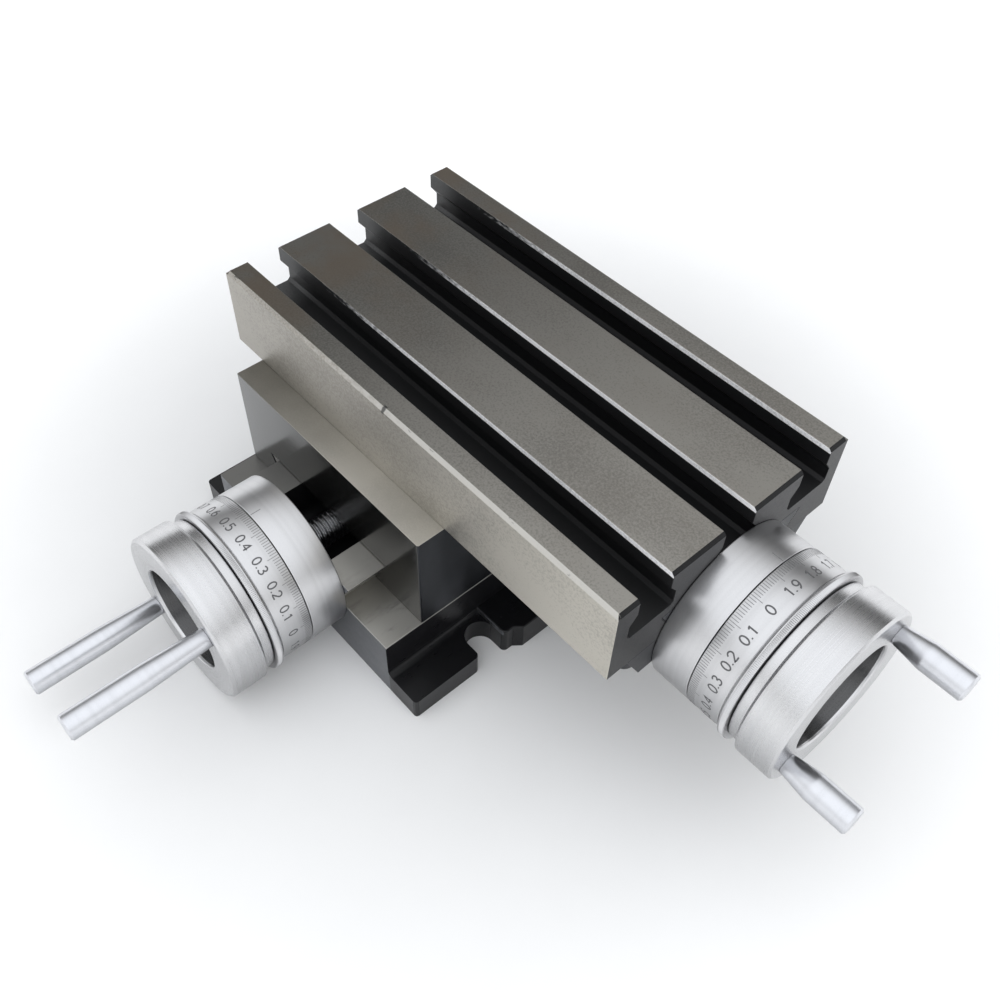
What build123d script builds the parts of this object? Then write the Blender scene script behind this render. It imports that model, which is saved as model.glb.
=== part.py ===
from build123d import *

import os
from dataclasses import dataclass
from math import radians, sin, tan

# Cross slide table: a T-slotted table on dovetail ways over a saddle, and the saddle on
# dovetail ways over a base. Each slide is driven by a leadscrew with a dial and a handwheel.
# Millimetres. X runs along the table towards its handwheel, Y runs back, Z runs up.
# The origin is the centre of the base's bottom face.

os.makedirs("parts", exist_ok=True)

# Table
table_length = 200.0
table_width = 106.0
table_height = 33.4
table_edge_chamfer = 1.25
table_end_chamfer = 1.2
slot_count = 3
slot_pitch = 37.0
slot_mouth = 14.0
slot_neck_depth = 6.8
slot_undercut = 3.0
slot_shoulder_depth = 10.8
slot_depth = 17.2
slot_corner_radius = 1.2

# Saddle
saddle_width = 108.5
saddle_length = 129.0
saddle_height = 45.8
saddle_edge_chamfer = 0.5
screw_trough_width = 24.0
screw_trough_floor = 27.5

# Base
base_length = 180.0
base_way_height = 28.5
foot_reach = 15.9
foot_thickness = 10.3
foot_corner_radius = 1.5
foot_blend_radius = 2.5
base_trough_width = 37.0
base_trough_floor = 24.0
base_trough_radius = 4.0

# Hold-down notches in the feet, and the thicker stretch of foot between them
notch_width = 12.2
notch_from_end = 37.1
notch_centre_inset = 6.75
notch_mouth_radius = 2.0
pad_thickness = 13.0
pad_bulge = 2.6
pad_bulge_setback = 7.5
pad_ramp = 3.0
pad_step_radius = 0.8
pad_top_radius = 0.8

# Dovetails. The lower one carries the saddle, the upper one carries the table.
dovetail_angle = 60.0
lower_dovetail_width = 67.7
lower_dovetail_height = 13.6
upper_dovetail_width = 62.0
upper_dovetail_height = 11.75
top_clearance = 0.3
slide_film = 0.05

# Gibs, with their screws and locknuts
gib_thickness = 4.0
gib_play = 0.25
gib_edge_gap = 0.35
gib_screw_radius = 2.45
gib_screw_hole_radius = 2.5
gib_screw_count = 4
gib_dog_radius = 1.6
gib_dog_length = 1.2
gib_dimple_radius = 1.7
gib_screw_stand_out = 6.0
locknut_across_flats = 8.0
locknut_height = 4.0
lower_gib_screw_pitch = 32.0
upper_gib_screw_pitch = 46.0

# Rest position, as in the photograph
table_rest_x = 30.4
saddle_rest_y = -9.0

# Leadscrews: 12 mm thread with a pitch of 2 mm
thread_radius = 6.0
thread_end_chamfer = 1.0
x_thread_length = 185.0
y_thread_length = 140.0
x_screw_height = 68.1
y_screw_height = 33.8
journal_radius = 5.0
collar_radius = 9.0
collar_thickness = 3.9
stud_radius = 4.0
stud_length = 9.5
running_clearance = 0.05

# Bearing flange
flange_radius = 31.5
flange_thickness = 14.9
flange_edge_chamfer = 0.5
thrust_washer_radius = 10.6
thrust_washer_thickness = 1.5
thrust_pocket_radius = 11.0
rear_pocket_depth = 6.0
front_pocket_depth = 2.5
flange_screw_circle = 23.5
flange_screw_angle = 35.0

# Dial
dial_radius = 31.5
dial_gap = 0.3
dial_length = 12.5
dial_bore_radius = 22.05
line_width = 0.25
line_depth = 0.3
bead_radius = 33.0
bead_rise = 1.1
bead_length = 3.5
bead_edge_chamfer = 0.2

# Handwheel
wheel_gap = 0.3
hub_radius = 10.4
hub_rear_gap = 0.05
boss_radius = 22.0
spring_groove_width = 6.0
spring_groove_depth = 1.2
neck_radius = 31.0
neck_length = 4.3
rim_radius = 33.2
rim_length = 13.7
rim_edge_chamfer = 1.0
recess_radius = 20.5
recess_floor_radius = 18.5
recess_depth = 13.5
recess_floor_fillet = 3.0
key_size = 3.0
key_length = 10.0
key_start = 5.0
spring_thickness = 0.8
spring_side_gap = 0.1
spring_gap_angle = 50.0

# Handles: each widens from its root to a knee and runs on nearly straight to its end
handle_circle = 26.0
handle_stud_radius = 3.0
handle_stud_length = 8.0
handle_hole_run_out = 1.0
handle_seat_gap = 0.05
handle_end_chamfer = 0.7
x_handle_length = 25.2
x_handle_root_radius = 3.5
x_handle_knee = 10.3
x_handle_knee_radius = 5.0
x_handle_end_radius = 5.0
x_handle_angle = 32.0
y_handle_length = 51.8
y_handle_root_radius = 3.7
y_handle_knee = 23.3
y_handle_knee_radius = 4.75
y_handle_end_radius = 4.85
y_handle_angle = 33.8

# Wheel nut and washer
wheel_washer_radius = 8.0
wheel_washer_thickness = 1.6
wheel_nut_across_flats = 13.0
wheel_nut_height = 6.5

# End bracket under the table's right end
bracket_length = 12.0
bracket_depth = 13.6
bracket_top_half_width = 44.1
bracket_bottom_half_width = 36.8
bracket_edge_radius = 1.0
bracket_boss_radius = 12.0
bracket_bore_radius = 6.5
bracket_tongue_clearance = 0.1
bracket_screw_offset = 38.0
bracket_screw_seat = 5.6

# Leadscrew nuts
x_nut_length = 36.0
x_nut_width = 20.0
x_nut_height = 22.0
x_nut_screw_offset = 12.0
x_nut_screw_wall = 1.5
y_nut_length = 24.0
y_nut_width = 34.0
y_nut_offset = -26.0
y_nut_floor_gap = 0.6
y_nut_chamfer = 3.0
y_nut_screw_offset = 11.0
nut_edge_chamfer = 0.8

# Socket head cap screws, all of one size
cap_head_radius = 4.25
cap_head_height = 5.0
cap_shank_radius = 2.45
cap_hole_radius = 2.75
tapped_hole_radius = 2.5
cap_pocket_radius = 4.5
cap_pocket_depth = 5.5
cap_socket_radius = 2.3
cap_socket_depth = 2.5
flange_screw_grip = 10.6
bracket_screw_grip = 6.4
y_nut_screw_grip = 7.7
tap_run_out = 0.5

# How far a cut starts outside the face it enters
cut_lead = 1.0

# Levels and half widths that follow from the sizes above
slope = tan(radians(dovetail_angle))
lean = sin(radians(dovetail_angle))
lower_top = base_way_height + lower_dovetail_height
saddle_bottom = base_way_height + slide_film
saddle_way = saddle_bottom + saddle_height
lower_ceiling = lower_top + top_clearance
trough_floor = saddle_bottom + screw_trough_floor
upper_top = saddle_way + upper_dovetail_height
table_bottom = saddle_way + slide_film
table_top = table_bottom + table_height
upper_ceiling = upper_top + top_clearance
foot_half_width = saddle_width / 2 + foot_reach
gib_room = (gib_thickness + gib_play) / lean
film_room = slide_film / lean
notch_y = base_length / 2 - notch_from_end
notch_x = foot_half_width - notch_centre_inset
pad_half_length = notch_y - notch_width / 2
bulge_half_length = pad_half_length - pad_bulge_setback
bulge_x = foot_half_width + pad_bulge
table_right = table_rest_x + table_length / 2
saddle_left = -saddle_width / 2
table_back = saddle_rest_y + table_width / 2
bracket_bottom = table_bottom - bracket_depth
lower_gib_screw_height = base_way_height + lower_dovetail_height / 2
upper_gib_screw_height = saddle_way + upper_dovetail_height / 2
upper_gib_length = table_length - bracket_length - 2 * gib_edge_gap
upper_gib_middle = table_rest_x - bracket_length / 2
x_nut_screw_grip = x_screw_height - thread_radius - trough_floor - x_nut_screw_wall
y_nut_bottom = base_trough_floor + y_nut_floor_gap


def lower_flank(height):
    """Half width of the lower male dovetail at a height."""
    return lower_dovetail_width / 2 - (lower_top - height) / slope


def upper_flank(height):
    """Half width of the upper male dovetail at a height."""
    return upper_dovetail_width / 2 - (upper_top - height) / slope


@dataclass
class Spindle:
    """One screw with its flange, dial and handwheel. face lies on the mounting face, with its
    normal along the spindle's axis, out of the machine, and its own x across the machine."""

    prefix: str
    face: Plane
    thread_length: float
    screws_up: bool

    @property
    def axis(self):
        return Axis(self.face.origin, self.face.z_dir)

    @property
    def section(self):
        """Plane through the axis: its x is the radius and its y the distance from the face."""
        return Plane(origin=self.face.origin, x_dir=self.face.x_dir, z_dir=-self.face.y_dir)

    def flange_screw_points(self):
        """Centres of the flange's four screws on the mounting face."""
        tilt = flange_screw_angle if self.screws_up else -flange_screw_angle
        angles = (0.0, tilt, 180.0 - tilt, 180.0)
        return [Vector(flange_screw_circle, 0).rotate(Axis.Z, a) for a in angles]


@dataclass
class HandleShape:
    """Outline of a handle above the wheel's face, and the angle of its place on the wheel."""

    length: float
    root_radius: float
    knee: float
    knee_radius: float
    end_radius: float
    angle: float


x_face = Plane(origin=(table_right, saddle_rest_y, x_screw_height), x_dir=(0, 1, 0), z_dir=(1, 0, 0))
y_face = Plane(origin=(0, -base_length / 2, y_screw_height), x_dir=(1, 0, 0), z_dir=(0, -1, 0))
x_spindle = Spindle("x", x_face, x_thread_length, True)
y_spindle = Spindle("y", y_face, y_thread_length, False)
x_handle_shape = HandleShape(
    x_handle_length,
    x_handle_root_radius,
    x_handle_knee,
    x_handle_knee_radius,
    x_handle_end_radius,
    x_handle_angle,
)
y_handle_shape = HandleShape(
    y_handle_length,
    y_handle_root_radius,
    y_handle_knee,
    y_handle_knee_radius,
    y_handle_end_radius,
    y_handle_angle,
)

# Distances along a spindle's axis from its mounting face
dial_start = flange_thickness + dial_gap
line_start = dial_start + dial_length
dial_end = line_start + bead_length
neck_start = dial_end + wheel_gap
rim_start = neck_start + neck_length
rim_front = rim_start + rim_length
recess_floor = rim_front - recess_depth
collar_front = rear_pocket_depth - thrust_washer_thickness - 2 * running_clearance
collar_back = collar_front - collar_thickness
front_pocket_floor = flange_thickness - front_pocket_depth
hub_back = front_pocket_floor + thrust_washer_thickness + 2 * hub_rear_gap
spring_groove_start = dial_start + key_start


def save(name, builder):
    """Label a finished piece and write it out under its name."""
    builder.part.label = name
    export_step(builder.part, f"parts/{name}.step")


def cap_screws(seat, points, length):
    """Socket head cap screws: seat is the plane under the heads, facing out of the head."""
    with BuildPart() as screws:
        with BuildSketch(seat):
            with Locations(*points):
                Circle(cap_head_radius)
        extrude(amount=cap_head_height)
        with BuildSketch(seat):
            with Locations(*points):
                Circle(cap_shank_radius)
        extrude(amount=-length)
        with BuildSketch(seat.offset(cap_head_height)):
            with Locations(*points):
                RegularPolygon(cap_socket_radius, 6)
        extrude(amount=-cap_socket_depth, mode=Mode.SUBTRACT)
    return screws


def edges_at(builder, axis, x=None, y=None, z=None):
    """Straight edges along an axis whose middles lie at the given distances from the centre."""
    wanted = [(place, value) for place, value in enumerate((x, y, z)) if value is not None]

    def lies_there(edge):
        middle = tuple(edge.center())
        return all(abs(abs(middle[place]) - value) < 0.01 for place, value in wanted)

    return builder.edges().filter_by(axis).filter_by(lies_there)


def base_casting():
    """Base with flat ways, male dovetail, open screw trough and notched feet."""
    way = saddle_width / 2
    trough = base_trough_width / 2
    top = lower_dovetail_width / 2
    notches = [(sx * (notch_x + notch_width), sy * notch_y) for sx in (-1, 1) for sy in (-1, 1)]
    with BuildPart() as base:
        with BuildSketch(Plane.XZ):
            with BuildLine():
                Polyline(
                    (0, 0),
                    (foot_half_width, 0),
                    (foot_half_width, foot_thickness),
                    (way, foot_thickness),
                    (way, base_way_height),
                    (lower_flank(base_way_height), base_way_height),
                    (top, lower_top),
                    (trough, lower_top),
                    (trough, base_trough_floor),
                    (0, base_trough_floor),
                )
                mirror(about=Plane.YZ)
            make_face()
        extrude(amount=base_length / 2, both=True)
        fillet(edges_at(base, Axis.Y, x=trough, z=base_trough_floor), base_trough_radius)
        fillet(edges_at(base, Axis.Y, x=way, z=foot_thickness), foot_blend_radius)
        with BuildSketch(Plane.XY):
            Rectangle(2 * foot_half_width, 2 * pad_half_length)
            for side in (-1, 1):
                Polygon(
                    (0, -bulge_half_length - pad_ramp),
                    (side * foot_half_width, -bulge_half_length - pad_ramp),
                    (side * bulge_x, -bulge_half_length),
                    (side * bulge_x, bulge_half_length),
                    (side * foot_half_width, bulge_half_length + pad_ramp),
                    (0, bulge_half_length + pad_ramp),
                    align=None,
                )
        extrude(amount=pad_thickness)
        with BuildSketch(Plane.XY):
            with Locations(*notches):
                SlotCenterToCenter(2 * notch_width, notch_width)
        extrude(amount=pad_thickness, mode=Mode.SUBTRACT)
        fillet(edges_at(base, Axis.Z, y=bulge_half_length), pad_step_radius)
        fillet(edges_at(base, Axis.Z, x=foot_half_width, y=pad_half_length), notch_mouth_radius)
        fillet(edges_at(base, Axis.Z, x=foot_half_width, y=notch_y + notch_width / 2), notch_mouth_radius)
        fillet(edges_at(base, Axis.Z, x=foot_half_width, y=base_length / 2), foot_corner_radius)
        rim = base.edges().filter_by(lambda e: abs(e.center().Z - pad_thickness) < 0.01)
        fillet(rim.filter_by(lambda e: abs(e.center().X) > way + 0.1), pad_top_radius)
        with BuildSketch(y_spindle.face):
            with Locations(*y_spindle.flange_screw_points()):
                Circle(tapped_hole_radius)
        extrude(amount=-flange_screw_grip - tap_run_out, mode=Mode.SUBTRACT)
    return base


def saddle_casting():
    """Saddle: female dovetail along Y below, male dovetail and screw trough along X above."""
    cut_bottom = saddle_bottom - cut_lead
    right = film_room
    left = film_room + gib_room
    with BuildPart() as saddle:
        with BuildSketch(Plane.XY.offset(saddle_bottom)):
            with Locations((0, saddle_rest_y)):
                Rectangle(saddle_width, saddle_length)
        extrude(amount=saddle_height)
        corners = saddle.edges().filter_by(Axis.Z)
        chamfer(corners, saddle_edge_chamfer)
        with BuildSketch(Plane.YZ):
            with Locations((saddle_rest_y, 0)):
                Polygon(
                    (-upper_flank(saddle_way), saddle_way),
                    (upper_flank(saddle_way), saddle_way),
                    (upper_dovetail_width / 2, upper_top),
                    (-upper_dovetail_width / 2, upper_top),
                    align=None,
                )
        extrude(amount=saddle_width / 2, both=True)
        with BuildSketch(Plane.YZ):
            with Locations((saddle_rest_y, trough_floor)):
                Rectangle(screw_trough_width, saddle_height, align=(Align.CENTER, Align.MIN))
        extrude(amount=saddle_width / 2, both=True, mode=Mode.SUBTRACT)
        with BuildSketch(Plane.XZ.offset(-saddle_rest_y)):
            Polygon(
                (-lower_flank(cut_bottom) - left, cut_bottom),
                (lower_flank(cut_bottom) + right, cut_bottom),
                (lower_flank(lower_ceiling) + right, lower_ceiling),
                (-lower_flank(lower_ceiling) - left, lower_ceiling),
                align=None,
            )
        extrude(amount=saddle_length / 2, both=True, mode=Mode.SUBTRACT)
        with BuildSketch(Plane.YZ.offset(saddle_left)):
            with Locations((saddle_rest_y, lower_gib_screw_height)):
                with GridLocations(lower_gib_screw_pitch, 1, gib_screw_count, 1):
                    Circle(gib_screw_hole_radius)
        extrude(amount=saddle_width / 2 - lower_flank(lower_ceiling), mode=Mode.SUBTRACT)
        with BuildSketch(Plane.XY.offset(lower_ceiling)):
            with Locations(*x_nut_screw_points()):
                Circle(cap_pocket_radius)
        extrude(amount=cap_pocket_depth, mode=Mode.SUBTRACT)
        with BuildSketch(Plane.XY.offset(lower_ceiling)):
            with Locations(*x_nut_screw_points()):
                Circle(cap_hole_radius)
        extrude(amount=trough_floor - lower_ceiling, mode=Mode.SUBTRACT)
        with BuildSketch(Plane.XY.offset(lower_ceiling)):
            with Locations(*y_nut_screw_points()):
                Circle(tapped_hole_radius)
        extrude(amount=y_nut_screw_grip + tap_run_out, mode=Mode.SUBTRACT)
    return saddle


def table_casting():
    """Table with three T-slots above and a female dovetail below."""
    cut_bottom = table_bottom - cut_lead
    front = film_room
    back = film_room + gib_room
    mouth = slot_mouth / 2
    with BuildPart() as table:
        with BuildSketch(Plane.YZ.offset(table_rest_x)):
            with Locations((saddle_rest_y, table_bottom)):
                outline = Rectangle(table_width, table_height, align=(Align.CENTER, Align.MIN))
            chamfer(outline.vertices().group_by(Axis.Y)[-1], table_edge_chamfer)
            with Locations((saddle_rest_y, table_top)):
                with GridLocations(slot_pitch, 1, slot_count, 1):
                    Polygon(
                        (-mouth, cut_lead),
                        (-mouth, -slot_neck_depth),
                        (-mouth - slot_undercut, -slot_shoulder_depth),
                        (-mouth - slot_undercut, slot_corner_radius - slot_depth),
                        (slot_corner_radius - mouth - slot_undercut, -slot_depth),
                        (mouth + slot_undercut - slot_corner_radius, -slot_depth),
                        (mouth + slot_undercut, slot_corner_radius - slot_depth),
                        (mouth + slot_undercut, -slot_shoulder_depth),
                        (mouth, -slot_neck_depth),
                        (mouth, cut_lead),
                        align=None,
                        mode=Mode.SUBTRACT,
                    )
            with Locations((saddle_rest_y, 0)):
                Polygon(
                    (-upper_flank(cut_bottom) - front, cut_bottom),
                    (upper_flank(cut_bottom) + back, cut_bottom),
                    (upper_flank(upper_ceiling) + back, upper_ceiling),
                    (-upper_flank(upper_ceiling) - front, upper_ceiling),
                    align=None,
                    mode=Mode.SUBTRACT,
                )
        extrude(amount=table_length / 2, both=True)
        top_edges = table.faces().filter_by(Axis.Z).group_by(Axis.Z)[-1].edges().filter_by(Axis.Y)
        chamfer(top_edges, table_end_chamfer)
        with BuildSketch(Plane.XZ.offset(-table_back)):
            with Locations((upper_gib_middle, upper_gib_screw_height)):
                with GridLocations(upper_gib_screw_pitch, 1, gib_screw_count, 1):
                    Circle(gib_screw_hole_radius)
        extrude(amount=table_width / 2 - upper_flank(upper_ceiling), mode=Mode.SUBTRACT)
        with BuildSketch(Plane.XY.offset(table_bottom)):
            with Locations(*bracket_screw_points()):
                Circle(tapped_hole_radius)
        extrude(amount=bracket_screw_grip + tap_run_out, mode=Mode.SUBTRACT)
    return table


def lower_gib():
    """Gib between the base's left flank and the saddle, dimpled for its screws."""
    low = base_way_height + gib_edge_gap
    high = lower_top - gib_edge_gap
    inner = film_room
    outer = film_room + gib_thickness / lean
    with BuildPart() as gib:
        with BuildSketch(Plane.XZ.offset(-saddle_rest_y)):
            Polygon(
                (-lower_flank(low) - inner, low),
                (-lower_flank(high) - inner, high),
                (-lower_flank(high) - outer, high),
                (-lower_flank(low) - outer, low),
                align=None,
            )
        extrude(amount=saddle_length / 2 - gib_edge_gap, both=True)
        with BuildSketch(Plane.YZ.offset(saddle_left)):
            with Locations((saddle_rest_y, lower_gib_screw_height)):
                with GridLocations(lower_gib_screw_pitch, 1, gib_screw_count, 1):
                    Circle(gib_dimple_radius)
        extrude(amount=gib_dimple_reach(saddle_width / 2, saddle_gib_flank), mode=Mode.SUBTRACT)
    return gib


def upper_gib():
    """Gib between the saddle's back flank and the table, dimpled for its screws."""
    low = saddle_way + gib_edge_gap
    high = upper_top - gib_edge_gap
    inner = film_room
    outer = film_room + gib_thickness / lean
    with BuildPart() as gib:
        with BuildSketch(Plane.YZ.offset(upper_gib_middle)):
            with Locations((saddle_rest_y, 0)):
                Polygon(
                    (upper_flank(low) + inner, low),
                    (upper_flank(high) + inner, high),
                    (upper_flank(high) + outer, high),
                    (upper_flank(low) + outer, low),
                    align=None,
                )
        extrude(amount=upper_gib_length / 2, both=True)
        with BuildSketch(Plane.XZ.offset(-table_back)):
            with Locations((upper_gib_middle, upper_gib_screw_height)):
                with GridLocations(upper_gib_screw_pitch, 1, gib_screw_count, 1):
                    Circle(gib_dimple_radius)
        extrude(amount=gib_dimple_reach(table_width / 2, table_gib_flank), mode=Mode.SUBTRACT)
    return gib


def gib_dimple_reach(wall_half_width, flank):
    """Depth of a gib's dimples, from the outside of the wall that carries the screws."""
    gib_face = flank + film_room + gib_thickness / lean
    return wall_half_width - gib_face + gib_dog_length + running_clearance


def gib_screws(wall, pitch, wall_half_width, flank):
    """Dog point set screws through a wall, with their tips in the gib's dimples.
    wall lies on the outside of the wall and faces out of it."""
    tip = gib_dimple_reach(wall_half_width, flank) - running_clearance
    shoulder = tip - gib_dog_length - gib_screw_radius / slope - running_clearance
    with BuildPart() as screws:
        with BuildSketch(wall.offset(gib_screw_stand_out)):
            with GridLocations(pitch, 1, gib_screw_count, 1):
                Circle(gib_screw_radius)
                RegularPolygon(gib_screw_radius / 2, 6, mode=Mode.SUBTRACT)
        extrude(amount=-gib_screw_radius)
        with BuildSketch(wall.offset(gib_screw_stand_out - gib_screw_radius)):
            with GridLocations(pitch, 1, gib_screw_count, 1):
                Circle(gib_screw_radius)
        extrude(amount=-(shoulder + gib_screw_stand_out - gib_screw_radius))
        with BuildSketch(wall.offset(-shoulder)):
            with GridLocations(pitch, 1, gib_screw_count, 1):
                Circle(gib_dog_radius)
        extrude(amount=-(tip - shoulder))
    return screws


def gib_locknuts(wall, pitch):
    """Hexagon locknuts on the gib screws, seated on the outside of the wall."""
    with BuildPart() as nuts:
        with BuildSketch(wall):
            with GridLocations(pitch, 1, gib_screw_count, 1):
                RegularPolygon(locknut_across_flats / 2, 6, major_radius=False)
                Circle(gib_screw_hole_radius, mode=Mode.SUBTRACT)
        extrude(amount=locknut_height)
    return nuts


def x_nut_screw_points():
    """Centres of the screws that hold the table's leadscrew nut, from above."""
    return [(side * x_nut_screw_offset, saddle_rest_y) for side in (-1, 1)]


def y_nut_screw_points():
    """Centres of the screws that hold the saddle's leadscrew nut, from above."""
    return [(side * y_nut_screw_offset, saddle_rest_y + y_nut_offset) for side in (-1, 1)]


def bracket_screw_points():
    """Centres of the end bracket's screws, from above."""
    x = table_right - bracket_length / 2
    return [(x, saddle_rest_y + side * bracket_screw_offset) for side in (-1, 1)]


def x_nut():
    """Bronze nut of the table's leadscrew, standing on the floor of the saddle's trough."""
    with BuildPart() as nut:
        with BuildSketch(Plane.XY.offset(trough_floor)):
            with Locations((0, saddle_rest_y)):
                Rectangle(x_nut_length, x_nut_width)
        extrude(amount=x_nut_height)
        chamfer(nut.edges().group_by(Axis.Z)[-1], nut_edge_chamfer)
        with BuildSketch(Plane.YZ):
            with Locations((saddle_rest_y, x_screw_height)):
                Circle(thread_radius + running_clearance)
        extrude(amount=x_nut_length, both=True, mode=Mode.SUBTRACT)
        with BuildSketch(Plane.XY.offset(trough_floor)):
            with Locations(*x_nut_screw_points()):
                Circle(tapped_hole_radius)
        extrude(amount=x_nut_screw_grip + tap_run_out, mode=Mode.SUBTRACT)
    return nut


def y_nut():
    """Bronze nut of the saddle's leadscrew, hanging from the saddle into the base's trough."""
    with BuildPart() as nut:
        with BuildSketch(Plane.XY.offset(y_nut_bottom)):
            with Locations((0, saddle_rest_y + y_nut_offset)):
                Rectangle(y_nut_width, y_nut_length)
        extrude(amount=lower_ceiling - y_nut_bottom)
        low_edges = nut.edges().group_by(Axis.Z)[0].filter_by(Axis.Y)
        chamfer(low_edges, y_nut_chamfer)
        with BuildSketch(Plane.XZ.offset(-saddle_rest_y - y_nut_offset)):
            with Locations((0, y_screw_height)):
                Circle(thread_radius + running_clearance)
        extrude(amount=y_nut_length, both=True, mode=Mode.SUBTRACT)
        with BuildSketch(Plane.XY.offset(y_nut_bottom)):
            with Locations(*y_nut_screw_points()):
                Circle(cap_hole_radius)
        extrude(amount=lower_ceiling - y_nut_bottom, mode=Mode.SUBTRACT)
        with BuildSketch(Plane.XY.offset(y_nut_bottom)):
            with Locations(*y_nut_screw_points()):
                Circle(cap_pocket_radius)
        extrude(amount=cap_pocket_depth, mode=Mode.SUBTRACT)
    return nut


def x_end_bracket():
    """End bracket: a tongue in the table's dovetail, wings under the apron, a boss for the screw."""
    gap = bracket_tongue_clearance
    tongue_top = upper_ceiling - gap
    front = -gap
    back = gib_room - gap
    with BuildPart() as bracket:
        with BuildSketch(Plane.YZ.offset(table_right)):
            with Locations((saddle_rest_y, 0)):
                Polygon(
                    (-bracket_bottom_half_width, bracket_bottom),
                    (bracket_bottom_half_width, bracket_bottom),
                    (bracket_top_half_width, table_bottom),
                    (upper_flank(table_bottom) + back, table_bottom),
                    (upper_flank(tongue_top) + back, tongue_top),
                    (-upper_flank(tongue_top) - front, tongue_top),
                    (-upper_flank(table_bottom) - front, table_bottom),
                    (-bracket_top_half_width, table_bottom),
                    align=None,
                )
            with Locations((saddle_rest_y, x_screw_height)):
                Circle(bracket_boss_radius)
        extrude(amount=-bracket_length)
        corners = [e for e in bracket.edges().filter_by(Axis.X) if is_bracket_corner(e.center())]
        fillet(corners, bracket_edge_radius)
        with BuildSketch(x_spindle.face):
            Circle(bracket_bore_radius)
            with Locations(*x_spindle.flange_screw_points()):
                Circle(tapped_hole_radius)
        extrude(amount=-bracket_length, mode=Mode.SUBTRACT)
        with BuildSketch(Plane.XY.offset(bracket_bottom)):
            with Locations(*bracket_screw_points()):
                Circle(cap_hole_radius)
        extrude(amount=bracket_depth, mode=Mode.SUBTRACT)
        with BuildSketch(Plane.XY.offset(bracket_bottom)):
            with Locations(*bracket_screw_points()):
                Circle(cap_pocket_radius)
        extrude(amount=bracket_depth - bracket_screw_seat, mode=Mode.SUBTRACT)
    return bracket


def is_bracket_corner(middle):
    """Whether a point lies on one of the bracket's two lowest outer edges."""
    across = abs(middle.Y - saddle_rest_y)
    return abs(middle.Z - bracket_bottom) < 0.01 and abs(across - bracket_bottom_half_width) < 0.01


def bearing_flange(spindle):
    """Round flange that carries the screw's journal between two thrust pockets."""
    bore = journal_radius + running_clearance
    edge = flange_edge_chamfer
    with BuildPart() as flange:
        with BuildSketch(spindle.section):
            Polygon(
                (thrust_pocket_radius, 0),
                (flange_radius - edge, 0),
                (flange_radius, edge),
                (flange_radius, flange_thickness - edge / 2),
                (flange_radius - edge / 2, flange_thickness),
                (thrust_pocket_radius, flange_thickness),
                (thrust_pocket_radius, front_pocket_floor),
                (bore, front_pocket_floor),
                (bore, rear_pocket_depth),
                (thrust_pocket_radius, rear_pocket_depth),
                align=None,
            )
        revolve(axis=spindle.axis)
        with Locations(spindle.face.offset(flange_thickness)):
            with Locations(*spindle.flange_screw_points()):
                CounterBoreHole(cap_hole_radius, cap_pocket_radius, cap_pocket_depth)
    return flange


def thrust_washers(spindle):
    """The two thrust washers: behind the bearing's shoulder, and under the wheel's hub."""
    with BuildPart() as washers:
        for start in (collar_front + running_clearance, front_pocket_floor + running_clearance):
            with BuildSketch(spindle.face.offset(start)):
                Circle(thrust_washer_radius)
                Circle(journal_radius + 2 * running_clearance, mode=Mode.SUBTRACT)
            extrude(amount=thrust_washer_thickness)
    return washers


def leadscrew(spindle):
    """Leadscrew: threaded length, thrust collar, journal with a keyway, and a stud for the nut."""
    thread_end = -spindle.thread_length
    with BuildPart() as screw:
        with BuildSketch(spindle.section):
            Polygon(
                (0, thread_end),
                (thread_radius - thread_end_chamfer, thread_end),
                (thread_radius, thread_end + thread_end_chamfer),
                (thread_radius, -thread_end_chamfer),
                (journal_radius, 0),
                (journal_radius, collar_back),
                (collar_radius, collar_back),
                (collar_radius, collar_front),
                (journal_radius, collar_front),
                (journal_radius, recess_floor - running_clearance),
                (stud_radius, recess_floor - running_clearance),
                (stud_radius, recess_floor + stud_length - handle_end_chamfer),
                (stud_radius - handle_end_chamfer, recess_floor + stud_length),
                (0, recess_floor + stud_length),
                align=None,
            )
        revolve(axis=spindle.axis)
        with BuildSketch(spindle.face.offset(dial_start + key_start)):
            with Locations((journal_radius, 0)):
                Rectangle(key_size, key_size)
        extrude(amount=key_length, mode=Mode.SUBTRACT)
    return screw


def wheel_key(spindle):
    """Square key between the journal and the handwheel's hub."""
    with BuildPart() as key:
        with BuildSketch(spindle.face.offset(dial_start + key_start + running_clearance)):
            with Locations((journal_radius, 0)):
                Rectangle(key_size - 2 * running_clearance, key_size - 2 * running_clearance)
        extrude(amount=key_length - 2 * running_clearance)
    return key


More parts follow.
